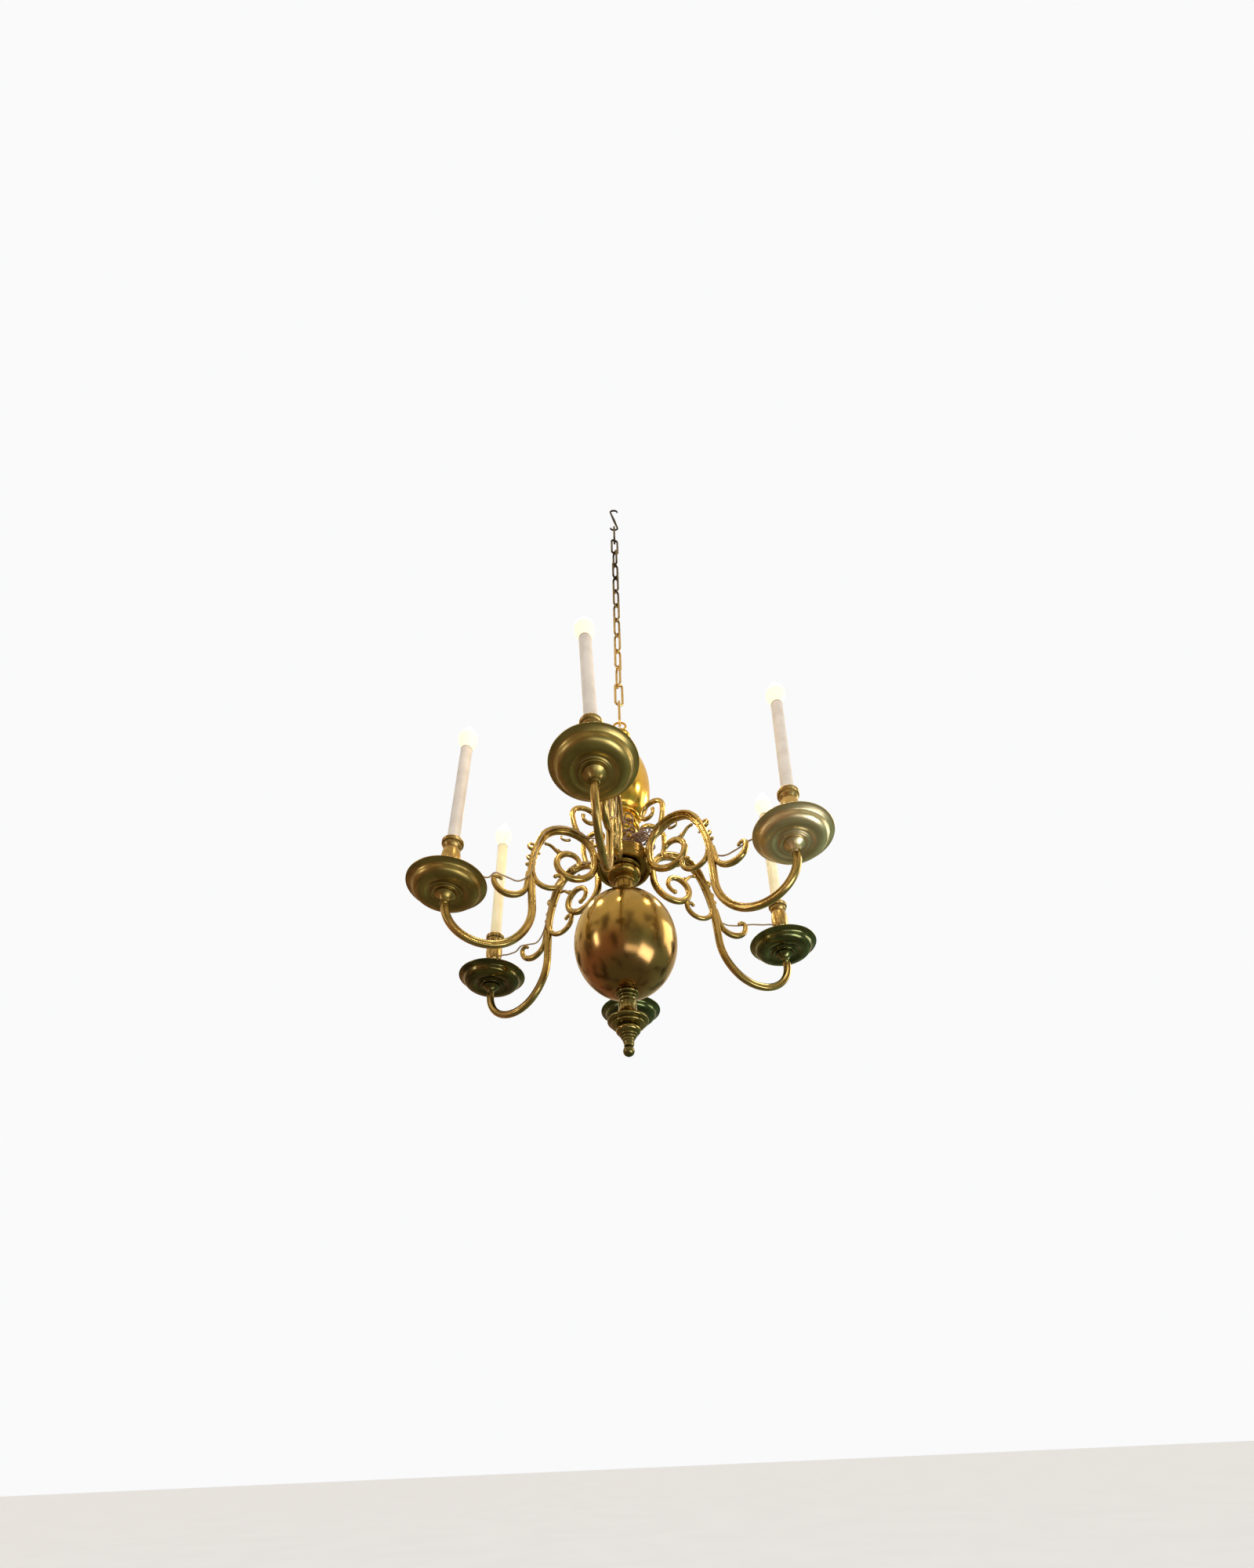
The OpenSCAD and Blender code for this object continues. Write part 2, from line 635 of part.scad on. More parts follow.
module arm_screws() {
    color(IRON) for (i = [0:ARM_COUNT - 1]) at_arm(i) translate([screw_r_place, 0, 0]) {
        translate([0, 0, lug_z - lug_h / 2]) cylinder(h = drum_top_z - lug_z + lug_h / 2, d = screw_d);
        translate([0, 0, drum_top_z + seat_gap])
            cylinder(h = screw_head_h, d = screw_head_d);
        translate([0, 0, drum_top_z - 1]) cylinder(h = 1 + seat_gap, d = screw_d);
    }
}

// Wiring -----------------------------------------------------------------------------------

// The coil is one wire wound round the collar's narrow part.
COIL_STEPS = 12;        // points per turn
coil_r = (spool_r + coil_wire / 2 + 0.4) / cos(180 / COIL_STEPS);
COIL_POINTS = [
    for (k = [0:coil_turns * COIL_STEPS])
        let (a = arm_start + k * 360 / COIL_STEPS, rise = k / COIL_STEPS * (coil_wire + 0.6))
            [coil_r * cos(a), coil_r * sin(a), drum_top_z + 10 + rise]
];
module hub_wires() { color(WIRE_BROWN) tube(COIL_POINTS, coil_wire / 2); }

// Route of the flex on an arm, in the arm's plane: [x, y, z] with z from the lug's height.
FLEX_ARM = [
    [34, 0, 34], [44, 3, 38], [56, 8, 41], [68, 10, 38], [82, 10, 41], [97, 10, 49], [112, 10, 52],
    [126, 10, 50], [139, 10, 45], [150, 10, 37], [158, 10, 27], [165, 10, 14], [170, 10, 0],
    [174, 10, -16], [178, 10, -34], [181, 10, -52], [184, 9.5, -68], [190, 8, -82], [199, 6, -93],
    [211, 5, -99], [224, 6.5, -97], [237, 7.5, -94], [250, 7, -91]
];
// The last stretch, measured from the bottom of the drip pan and from the candle's centre line.
FLEX_CANDLE = [[-66, 3, 58], [-52, 1, 60], [-38, 0, 63], [-26, 0, 67]];

function turn_z(p, a) = [p[0] * cos(a) - p[1] * sin(a), p[0] * sin(a) + p[1] * cos(a), p[2]];
function turn_y(p, a) = [p[0] * cos(a) + p[2] * sin(a), p[1], p[2] * cos(a) - p[0] * sin(a)];
function turn_x(p, a) = [p[0], p[1] * cos(a) - p[2] * sin(a), p[1] * sin(a) + p[2] * cos(a)];
function flex_points(i) = [
    for (p = concat(
        [for (q = FLEX_ARM)
            let (d = turn_y([q[0] - pivot_r, q[1], q[2]], -arm_lift[i])) d + [pivot_r, 0, lug_z]],
        [for (q = FLEX_CANDLE) turn_y(turn_x(q, -lean_along[i]), lean_out[i]) + lifted(i)]
    )) turn_z(p, arm_start - i * 360 / ARM_COUNT + arm_swing[i])
];

function unit(v) = v / norm(v);
// A tube of the given radius along a list of points.
module tube(points, r, sides = 8) {
    n = len(points);
    dirs = [for (i = [0:n - 1]) unit(points[min(i + 1, n - 1)] - points[max(i - 1, 0)])];
    across = [for (d = dirs) unit(cross(d, abs(d[2]) > 0.9 ? [1, 0.3, 0] : [0.1, 0.2, 1]))];
    verts = [for (i = [0:n - 1]) let (u = across[i], v = cross(dirs[i], u))
        for (k = [0:sides - 1]) points[i] + r * (cos(360 * k / sides) * u + sin(360 * k / sides) * v)];
    sidewalls = [for (i = [0:n - 2]) for (k = [0:sides - 1])
        let (a = i * sides + k, b = i * sides + (k + 1) % sides) [a, b, b + sides, a + sides]];
    polyhedron(
        verts,
        concat([[for (k = [sides - 1:-1:0]) k]], sidewalls, [[for (k = [0:sides - 1]) (n - 1) * sides + k]])
    );
}
module arm_flex(i) { color(WIRE_BROWN) tube(flex_points(i), flex_d / 2); }

// Nodes ------------------------------------------------------------------------------------

ceiling_hook();
chain_link_top();
chain_upper();
chain_lower();
chain_link_bottom();
stem_eye();
centre_rod();
vase();
vase_collar();
hub_drum();
hub_knob();
globe();
ring_collar();
pendant();
finial_nut();
hub_wires();
arm_screws();
candle_nipples();
for (i = [0:ARM_COUNT - 1]) {
    arm(i);
    drip_pan(i);
    candle_cup(i);
    candle_sleeve(i);
    lampholder(i);
    bulb(i);
    arm_flex(i);
}
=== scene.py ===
import json
import math
import random

import bpy
from mathutils import Matrix, Vector


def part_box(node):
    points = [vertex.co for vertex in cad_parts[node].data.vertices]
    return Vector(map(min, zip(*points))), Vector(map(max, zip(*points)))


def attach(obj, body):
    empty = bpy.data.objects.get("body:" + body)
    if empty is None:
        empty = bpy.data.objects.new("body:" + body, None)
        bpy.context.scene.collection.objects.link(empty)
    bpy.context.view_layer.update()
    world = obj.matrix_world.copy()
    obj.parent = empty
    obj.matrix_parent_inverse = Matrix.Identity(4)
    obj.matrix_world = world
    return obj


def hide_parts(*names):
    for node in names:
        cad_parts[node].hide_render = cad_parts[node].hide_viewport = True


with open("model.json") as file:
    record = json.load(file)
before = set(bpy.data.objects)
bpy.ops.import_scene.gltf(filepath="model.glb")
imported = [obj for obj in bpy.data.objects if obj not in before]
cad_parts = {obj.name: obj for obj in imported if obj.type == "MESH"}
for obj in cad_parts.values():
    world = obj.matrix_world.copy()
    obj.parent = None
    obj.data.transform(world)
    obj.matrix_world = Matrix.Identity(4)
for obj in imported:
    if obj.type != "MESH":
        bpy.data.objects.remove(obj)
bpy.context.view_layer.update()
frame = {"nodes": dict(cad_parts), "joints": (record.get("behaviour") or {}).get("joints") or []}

# Sizes in millimetres are written plainly and turned into metres once, by MM.
MM = 0.001
ARMS = range(1, 7)

# Hub and arms, as the frame has them.
HUB_BODY = "chandelier"
PIVOT_R = 54.2
LUG_UP = 19.5
ROOT_R = 60.7
CROWN_R = 52
SWEEP_TURN = 28
SWEEP_R = 4.2 * CROWN_R
STEM_LEN = 70
BEND_LEAD = 1.53
TIP_LEN = 21
ARM_REACH = 330

# Candle fittings, measured up from the bottom of the drip pan.
CUP_TOP = 127
SLEEVE_R = 11
SLEEVE_FOOT = 77
SLEEVE_TOP = 386
RIM_H = 2

# Hanging parts.
HOOK_WIRE = 5
HOOK_R = 8
LINK_PITCH = 74
LINK_WIRE = 4.5
LINK_SWOLLEN = 5.8
LINK_WIDTH = 23
LINKS = 13
LINK_TWIST = 45
LINK_GAP = 0.3

hub_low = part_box("hub_drum")[0].z / MM
LUG_Z = hub_low + LUG_UP
globe_low, globe_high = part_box("globe")
globe_middle = (globe_low + globe_high) / 2


def linked(name, data):
    """A new object in the scene."""
    made = bpy.data.objects.new(name, data)
    bpy.context.scene.collection.objects.link(made)
    return made


# ---------------------------------------------------------------- camera

CAMERA_FROM_GLOBE = Vector((-3.7, -967.5, -749.8)) * MM
CAMERA_TURN = 1.820
CAMERA_TILT = 33.066
CAMERA_ROLL = -2.503
CAMERA_LENS = 15.69
CAMERA_SENSOR = 36
CAMERA_SHIFT = (-0.0105, 0.1374)


def make_camera():
    """The camera stands low in front of the chandelier and looks up at it."""
    turn, tilt, roll = (math.radians(angle) for angle in (CAMERA_TURN, CAMERA_TILT, CAMERA_ROLL))
    ahead = Vector((math.sin(turn) * math.cos(tilt), math.cos(turn) * math.cos(tilt), math.sin(tilt)))
    level = Vector((math.cos(turn), -math.sin(turn), 0))
    over = level.cross(ahead)
    right = math.cos(roll) * level + math.sin(roll) * over
    up = math.cos(roll) * over - math.sin(roll) * level
    data = bpy.data.cameras.new("camera")
    camera = linked("camera", data)
    facing = Matrix((right, up, -ahead)).transposed().to_4x4()
    camera.matrix_world = Matrix.Translation(Vector((0, 0, globe_middle.z)) + CAMERA_FROM_GLOBE) @ facing
    data.lens = CAMERA_LENS
    data.sensor_width = CAMERA_SENSOR
    data.shift_x, data.shift_y = CAMERA_SHIFT
    data.clip_start = 0.02
    data.clip_end = 200
    bpy.context.scene.camera = camera


make_camera()


# ---------------------------------------------------------------- materials

def new_group(name, inputs, outputs):
    """An empty shader group with float inputs {name: default} and outputs {name: socket type}."""
    group = bpy.data.node_groups.new(name, "ShaderNodeTree")
    for label, value in inputs.items():
        made = group.interface.new_socket(label, in_out="INPUT", socket_type="NodeSocketFloat")
        made.default_value = value
    for label, kind in outputs.items():
        group.interface.new_socket(label, in_out="OUTPUT", socket_type=kind)
    return group, group.nodes.new("NodeGroupInput"), group.nodes.new("NodeGroupOutput")


def noise(tree, vector, scale, detail=4, rough=0.55, distortion=0.0):
    """A noise texture that reads vector; scale is a number or a socket."""
    node = tree.nodes.new("ShaderNodeTexNoise")
    node.inputs["Detail"].default_value = detail
    node.inputs["Roughness"].default_value = rough
    node.inputs["Distortion"].default_value = distortion
    tree.links.new(vector, node.inputs["Vector"])
    if isinstance(scale, (int, float)):
        node.inputs["Scale"].default_value = scale
    else:
        tree.links.new(scale, node.inputs["Scale"])
    return node.outputs["Fac"]


def spread(tree, value, low, high, to_low=0.0, to_high=1.0):
    """value between low and high, stretched smoothly to the range from to_low to to_high."""
    node = tree.nodes.new("ShaderNodeMapRange")
    node.interpolation_type = "SMOOTHSTEP"
    tree.links.new(value, node.inputs["Value"])
    for label, number in (("From Min", low), ("From Max", high), ("To Min", to_low), ("To Max", to_high)):
        node.inputs[label].default_value = number
    return node.outputs["Result"]


def maths(tree, operation, a, b):
    """One sum; a and b are sockets or numbers."""
    node = tree.nodes.new("ShaderNodeMath")
    node.operation = operation
    for place, term in enumerate((a, b)):
        if isinstance(term, (int, float)):
            node.inputs[place].default_value = term
        else:
            tree.links.new(term, node.inputs[place])
    return node.outputs["Value"]


def blend_colours(tree, amount, a, b):
    """Colour a turning into colour b; each is a socket or three numbers."""
    node = tree.nodes.new("ShaderNodeMix")
    node.data_type = "RGBA"
    tree.links.new(amount, node.inputs["Factor"])
    for label, colour in (("A", a), ("B", b)):
        socket = [s for s in node.inputs if s.name == label and s.type == "RGBA"][0]
        if isinstance(colour, tuple):
            socket.default_value = (*colour, 1)
        else:
            tree.links.new(colour, socket)
    return [s for s in node.outputs if s.type == "RGBA"][0]


def make_ageing():
    """Masks of old brass: broad tarnished clouds, small dark spots, fine hand-rubbed scratches."""
    group, source, sink = new_group(
        "brass_ageing",
        {"Cloud Scale": 14, "Spot Scale": 160},
        {"Cloud": "NodeSocketFloat", "Spot": "NodeSocketFloat", "Rub": "NodeSocketFloat"},
    )
    where = group.nodes.new("ShaderNodeTexCoord").outputs["Object"]
    cloud = noise(group, where, source.outputs["Cloud Scale"], 5, 0.6, 0.6)
    spot = noise(group, where, source.outputs["Spot Scale"], 3, 0.6, 0.2)
    stretch = group.nodes.new("ShaderNodeMapping")
    stretch.inputs["Scale"].default_value = (1, 1, 7)
    group.links.new(where, stretch.inputs["Vector"])
    rub = noise(group, stretch.outputs["Vector"], 420, 3, 0.7)
    group.links.new(spread(group, cloud, 0.36, 0.66), sink.inputs["Cloud"])
    group.links.new(spread(group, spot, 0.60, 0.74), sink.inputs["Spot"])
    group.links.new(rub, sink.inputs["Rub"])
    return group


def make_turning():
    """Fine rings left by the lathe; Along is the distance along the turned outline, in metres."""
    group, source, sink = new_group("lathe_rings", {"Along": 0}, {"Ring": "NodeSocketFloat"})
    join = group.nodes.new("ShaderNodeCombineXYZ")
    group.links.new(source.outputs["Along"], join.inputs["X"])
    coarse = noise(group, join.outputs["Vector"], 340, 2, 0.6)
    fine = noise(group, join.outputs["Vector"], 1500, 2, 0.6)
    both = maths(group, "ADD", maths(group, "MULTIPLY", coarse, 0.6), maths(group, "MULTIPLY", fine, 0.4))
    group.links.new(both, sink.inputs["Ring"])
    return group


AGEING = make_ageing()
TURNING = make_turning()


def on_piece(tree):
    """Object coordinates of the piece, so that a pattern stays on it."""
    return tree.nodes.new("ShaderNodeTexCoord").outputs["Object"]


def roughen(tree, bsdf, height, strength, distance):
    """Feeds a height into the shader's normal."""
    bump = tree.nodes.new("ShaderNodeBump")
    bump.inputs["Strength"].default_value = strength
    bump.inputs["Distance"].default_value = distance
    tree.links.new(height, bump.inputs["Height"])
    tree.links.new(bump.outputs["Normal"], bsdf.inputs["Normal"])


def shader(name):
    """A new material's tree and its Principled shader."""
    material = bpy.data.materials.new(name)
    material.use_nodes = True
    tree = material.node_tree
    return material, tree, tree.nodes["Principled BSDF"]


def brass(name, bright, deep, tarnish_and_shade, rough, clouds, spots, turned_piece=True,
          low_tint=None, low_z=0.0, high_z=1.0):
    """Old brass: bright where rubbed, deep in the clouds, with tarnish spots, and painted shade that darkens
    the creases.

    rough is its roughness when bright and when clouded; low_tint takes over from high_z down to low_z."""
    material, tree, bsdf = shader(name)
    age = tree.nodes.new("ShaderNodeGroup")
    age.node_tree = AGEING
    age.inputs["Cloud Scale"].default_value = clouds
    # painted shade: Pointiness darkens the creases towards the dark colour, standing in for ambient occlusion
    pointed = tree.nodes.new("ShaderNodeNewGeometry").outputs["Pointiness"]
    crease_shade = spread(tree, pointed, 0.40, 0.485, 1.0, 0.0)
    colour = blend_colours(tree, age.outputs["Cloud"], bright, deep)
    if low_tint:
        split = tree.nodes.new("ShaderNodeSeparateXYZ")
        tree.links.new(on_piece(tree), split.inputs["Vector"])
        lower_down = spread(tree, split.outputs["Z"], low_z, high_z, 1.0, 0.0)
        colour = blend_colours(tree, lower_down, colour, low_tint)
    # this mask mixes real tarnish spots with the painted crease shade; both take the dark colour
    tarnish_and_crease_shade = maths(tree, "MAXIMUM", maths(tree, "MULTIPLY", age.outputs["Spot"], spots),
                 maths(tree, "MULTIPLY", crease_shade, 0.75))
    colour = blend_colours(tree, tarnish_and_crease_shade, colour, tarnish_and_shade)
    tree.links.new(colour, bsdf.inputs["Base Color"])
    mottled = maths(tree, "ADD", maths(tree, "MULTIPLY", age.outputs["Cloud"], rough[1] - rough[0]), rough[0])
    tree.links.new(maths(tree, "ADD", mottled, maths(tree, "MULTIPLY", tarnish_and_crease_shade, 0.25)), bsdf.inputs["Roughness"])
    tree.links.new(maths(tree, "SUBTRACT", 1.0, maths(tree, "MULTIPLY", tarnish_and_crease_shade, 0.35)), bsdf.inputs["Metallic"])
    height = maths(tree, "MULTIPLY", age.outputs["Rub"], 0.35)
    if turned_piece:
        along = tree.nodes.new("ShaderNodeAttribute")
        along.attribute_name = "along"
        rings = tree.nodes.new("ShaderNodeGroup")
        rings.node_tree = TURNING
        tree.links.new(along.outputs["Fac"], rings.inputs["Along"])
        height = maths(tree, "ADD", height, rings.outputs["Ring"])
    roughen(tree, bsdf, height, 0.10, 0.0006)
    return material


def iron():
    """Blackened iron wire with a little rust."""
    material, tree, bsdf = shader("black_iron")
    where = on_piece(tree)
    rust = spread(tree, noise(tree, where, 90, 5), 0.5, 0.72)
    colour = blend_colours(tree, rust, (0.025, 0.02, 0.017), (0.11, 0.05, 0.025))
    tree.links.new(colour, bsdf.inputs["Base Color"])
    tree.links.new(spread(tree, rust, 0, 1, 0.42, 0.75), bsdf.inputs["Roughness"])
    bsdf.inputs["Metallic"].default_value = 0.7
    roughen(tree, bsdf, noise(tree, where, 700, 4), 0.3, 0.0005)
    return material


def chain_brass():
    """The chain is nearly black at the top and turns gold lower down."""
    return brass("chain_dark_to_gold", bright=(0.13, 0.095, 0.055), deep=(0.07, 0.05, 0.03),
                 tarnish_and_shade=(0.02, 0.015, 0.01), rough=(0.25, 0.45), clouds=40, spots=0.5, turned_piece=False,
                 low_tint=(0.72, 0.53, 0.25), low_z=-0.86, high_z=-0.40)


def ivory(name, pale, dark):
    """Slightly yellowed candle sleeve."""
    material, tree, bsdf = shader(name)
    where = on_piece(tree)
    cloud = spread(tree, noise(tree, where, 26, 5), 0.35, 0.7)
    colour = blend_colours(tree, cloud, pale, dark)
    specks = spread(tree, noise(tree, where, 380, 3), 0.66, 0.78, 0.0, 0.5)
    tree.links.new(blend_colours(tree, specks, colour, (0.55, 0.45, 0.33)), bsdf.inputs["Base Color"])
    tree.links.new(spread(tree, cloud, 0, 1, 0.38, 0.55), bsdf.inputs["Roughness"])
    bsdf.inputs["Subsurface Weight"].default_value = 0.15
    bsdf.inputs["Subsurface Radius"].default_value = (0.004, 0.0025, 0.0015)
    roughen(tree, bsdf, noise(tree, where, 60, 4), 0.12, 0.0008)
    return material


def lamp_glass():
    """Frosted glass, lit from inside: white in the middle, warmer at its foot."""
    material, tree, bsdf = shader("lit_glass")
    along = tree.nodes.new("ShaderNodeAttribute")
    along.attribute_name = "along"
    foot = spread(tree, along.outputs["Fac"], 0.065, 0.11)
    glow = blend_colours(tree, foot, (1.0, 0.85, 0.52), (1.0, 0.985, 0.95))
    where = on_piece(tree)
    frost = spread(tree, noise(tree, where, 300, 3), 0.3, 0.7, 0.25, 0.4)
    tree.links.new(glow, bsdf.inputs["Emission Color"])
    tree.links.new(frost, bsdf.inputs["Roughness"])
    bsdf.inputs["Emission Strength"].default_value = 0.93
    bsdf.inputs["Base Color"].default_value = (0.45, 0.44, 0.40, 1)
    return material


def rubber(name, colour, worn):
    """Dull insulation on a flex or wire."""
    material, tree, bsdf = shader(name)
    where = on_piece(tree)
    cloud = spread(tree, noise(tree, where, 120, 4), 0.4, 0.65)
    tree.links.new(blend_colours(tree, cloud, colour, worn), bsdf.inputs["Base Color"])
    tree.links.new(spread(tree, cloud, 0, 1, 0.35, 0.6), bsdf.inputs["Roughness"])
    return material


GOLD = brass("arm_brass", bright=(0.62, 0.45, 0.18), deep=(0.38, 0.27, 0.09), tarnish_and_shade=(0.08, 0.055, 0.02),
             rough=(0.17, 0.32), clouds=22, spots=0.3, turned_piece=False)
VASE = brass("vase_brass", bright=(0.90, 0.62, 0.13), deep=(0.74, 0.44, 0.08), tarnish_and_shade=(0.20, 0.12, 0.03),
             rough=(0.12, 0.24), clouds=16, spots=0.2)
# painted shade: the hub's brass is a darker copy, for the drum's hollow and the knob under it that stand in
# shade; the arm screws share it
HUB = brass("hub_brass", bright=(0.46, 0.31, 0.09), deep=(0.30, 0.19, 0.05), tarnish_and_shade=(0.06, 0.04, 0.02),
            rough=(0.16, 0.32), clouds=22, spots=0.35)
# painted reflection and shade: below its middle the globe turns a darker reddish brown, as the dark room
# below shows in it
GLOBE = brass("globe_brass", bright=(0.50, 0.35, 0.11), deep=(0.39, 0.27, 0.08), tarnish_and_shade=(0.10, 0.07, 0.02),
              rough=(0.12, 0.20), clouds=9, spots=0.15,
              low_tint=(0.36, 0.20, 0.08), low_z=globe_middle.z - 0.09, high_z=globe_middle.z + 0.02)
PENDANT = brass("pendant_brass", bright=(0.30, 0.24, 0.09), deep=(0.19, 0.17, 0.07),
                tarnish_and_shade=(0.05, 0.04, 0.02), rough=(0.12, 0.24), clouds=14, spots=0.25)
CUP = brass("cup_brass", bright=(0.62, 0.45, 0.20), deep=(0.42, 0.29, 0.11), tarnish_and_shade=(0.09, 0.06, 0.03),
            rough=(0.22, 0.36), clouds=26, spots=0.35)
STEEL = brass("dark_steel", bright=(0.22, 0.20, 0.17), deep=(0.12, 0.10, 0.08), tarnish_and_shade=(0.05, 0.03, 0.02),
              rough=(0.3, 0.5), clouds=60, spots=0.5, turned_piece=False)
IRON = iron()
CHAIN = chain_brass()
# painted light: one ivory in two copies, a greyer, darker one for the front sleeves as if in shade and a
# paler, creamier one for the rear sleeves as if lit
SHADED_IVORY = ivory("ivory_sleeve", (0.80, 0.73, 0.66), (0.70, 0.62, 0.54))
LIT_IVORY = ivory("ivory_sleeve_lit", (0.96, 0.88, 0.62), (0.90, 0.80, 0.52))
REAR_ARMS = (3, 4, 5)
SLEEVE = {arm: LIT_IVORY if arm in REAR_ARMS else SHADED_IVORY for arm in ARMS}
GLASS = lamp_glass()
WIRE = rubber("brown_wire", (0.20, 0.11, 0.075), (0.36, 0.24, 0.17))
FLEX = rubber("gold_flex", (0.42, 0.28, 0.12), (0.30, 0.19, 0.09))
HOLDER = rubber("white_holder", (0.55, 0.47, 0.36), (0.42, 0.33, 0.22))


def pan_lit_and_shaded_brass():
    """Each drip pan gets its own copy of the brass with painted light: pan 6 pale as if lit by the window,
    pans 3 to 5 dark and green as if reflecting shade, pans 1 and 2 olive between; some are dull and some
    glossy.
    """
    dull, glossy = (0.30, 0.42), (0.15, 0.26)
    looks = {
        1: ((0.46, 0.36, 0.14), (0.32, 0.24, 0.08), dull),
        2: ((0.42, 0.31, 0.11), (0.28, 0.19, 0.06), dull),
        3: ((0.20, 0.16, 0.06), (0.10, 0.09, 0.04), glossy),
        4: ((0.15, 0.18, 0.08), (0.08, 0.10, 0.05), glossy),
        5: ((0.20, 0.21, 0.09), (0.09, 0.11, 0.05), glossy),
        6: ((0.86, 0.75, 0.52), (0.66, 0.55, 0.34), dull),
    }
    tarnish_and_crease_shade = (0.05, 0.04, 0.02)
    return {arm: brass(f"pan_brass_{arm}", bright, deep, tarnish_and_crease_shade, rough, clouds=18, spots=0.22)
            for arm, (bright, deep, rough) in looks.items()}


PAN = pan_lit_and_shaded_brass()


# ---------------------------------------------------------------- modelling tools

def nothing_selected():
    """Leaves edit mode, if it is on, and deselects everything."""
    if bpy.context.object and bpy.context.object.mode != "OBJECT":
        bpy.ops.object.mode_set(mode="OBJECT")
    bpy.ops.object.select_all(action="DESELECT")


def pick(*things):
    """Selects these objects alone; the first one is active."""
    nothing_selected()
    for thing in things:
        thing.select_set(True)
    bpy.context.view_layer.objects.active = things[0]


def finish_piece(piece, body, slot, material, *nodes):
    """Gives a piece its material and body, and hides the CAD nodes that it stands in for; slot is not used.
    """
    piece.data.materials.clear()
    piece.data.materials.append(material)
    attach(piece, body)
    if nodes:
        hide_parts(*nodes)
    return piece


def arc(r, z, size, start, end, steps=8):
    """Points [r, z] of a round stretch about (r, z)."""
    return oval(r, z, size, size, start, end, steps)


def oval(r, z, across, high, start, end, steps=16):
    """Points [r, z] of part of an oval about (r, z), from one angle in degrees to another."""
    angles = [math.radians(start + (end - start) * k / steps) for k in range(steps + 1)]
    return [(r + across * math.cos(a), z + high * math.sin(a)) for a in angles]


def clean_up():
    """Merges the active mesh's doubled points and turns its faces outwards."""
    bpy.ops.object.mode_set(mode="EDIT")
    bpy.ops.mesh.select_all(action="SELECT")
    bpy.ops.mesh.remove_doubles(threshold=0.00001)
    bpy.ops.mesh.normals_make_consistent(inside=False)
    bpy.ops.object.mode_set(mode="OBJECT")


ON_AXIS = 0.001


def turned(name, outline, place=None, steps=72, angle=32):
    """Spins an outline of [r, z] millimetres round Z; one with no end on the axis is closed as a bore."""
    points = outline[:-1] if outline[0] == outline[-1] else outline
    looped = points is not outline or min(points[0][0], points[-1][0]) > ON_AXIS
    mesh = bpy.data.meshes.new(name)
    edges = [(k, k + 1) for k in range(len(points) - 1)] + ([(len(points) - 1, 0)] if looped else [])
    mesh.from_pydata([(r * MM, 0, z * MM) for r, z in points], edges, [])
    piece = linked(name, mesh)
    pick(piece)
    bpy.ops.object.mode_set(mode="EDIT")
    bpy.ops.mesh.select_all(action="SELECT")
    bpy.ops.mesh.spin(steps=steps, angle=math.tau, center=(0, 0, 0), axis=(0, 0, 1))
    clean_up()
    lengths, run = {}, 0.0
    for k, (r, z) in enumerate(points):
        if k:
            run += math.dist(points[k - 1], (r, z)) * MM
        lengths[(round(r, 1), round(z, 1))] = run
    along = mesh.attributes.new("along", "FLOAT", "POINT")
    for vertex in mesh.vertices:
        key = (round(math.hypot(vertex.co.x, vertex.co.y) / MM, 1), round(vertex.co.z / MM, 1))
        along.data[vertex.index].value = lengths.get(key, 0.0)
    bpy.ops.object.shade_smooth_by_angle(angle=math.radians(angle))
    if place is not None:
        mesh.transform(place)
    return piece


def follow(start, moves, grain=7):
    """Points (x, z, thickness) of a flat path. start is (x, z, heading, thickness); a move is
    (radius, turn in degrees, thickness at its end), or (0, length, thickness) for a straight."""
    x, z, heading, thick = start
    points = [(x, z, thick)]
    for radius, turn, thick_end in moves:
        h = math.radians(heading)
        count = 4 if radius == 0 else max(4, round(abs(turn) / grain))
        side = math.copysign(1, turn)
        for k in range(1, count + 1):
            t = k / count
            if radius == 0:
                px, pz = x + turn * t * math.cos(h), z + turn * t * math.sin(h)
            else:
                a = h + math.radians(turn) * t
                px = x + side * radius * (math.sin(a) - math.sin(h))
                pz = z - side * radius * (math.cos(a) - math.cos(h))
            points.append((px, pz, thick + (thick_end - thick) * t))
        x, z, thick = px, pz, thick_end
        heading += turn if radius else 0
    return points


def section(name, outline):
    """A closed outline of unit size that a bar is drawn with: (in the bar's plane, across it)."""
    data = bpy.data.curves.new(name, "CURVE")
    data.dimensions = "2D"
    spline = data.splines.new("POLY")
    spline.points.add(len(outline) - 1)
    for point, (u, v) in zip(spline.points, outline):
        point.co = (u, v, 0, 1)
    spline.use_cyclic_u = True
    return linked(name, data)


def mirrored(quarter):
    """A whole outline from the points of one quarter, from the bar's edge to the middle of its side."""
    top = quarter + [(-u, v) for u, v in reversed(quarter[:-1])]
    return top + [(u, -v) for u, v in reversed(top[1:-1])]


FLUTED = section("fluted_section", mirrored(
    [(1.0, 0.0), (0.97, 0.3), (0.86, 0.58), (0.68, 0.78), (0.5, 0.82), (0.34, 0.7), (0.18, 0.62),
     (0.0, 0.6)]))
ROUND = section("round_section", oval(0, 0, 1, 1, 0, 360)[:-1])
SCROLL = section("scroll_section", mirrored(
    [(1.0, 0.0), (0.94, 0.36), (0.78, 0.66), (0.5, 0.86), (0.24, 0.9), (0.0, 0.88)]))
LEAF = section("leaf_section", mirrored(
    [(0.56, 0.0), (0.5, 0.16), (0.4, 0.3), (0.42, 0.5), (0.34, 0.74), (0.2, 0.92), (0.1, 1.0)]))
LEAF_OUT = 4.2


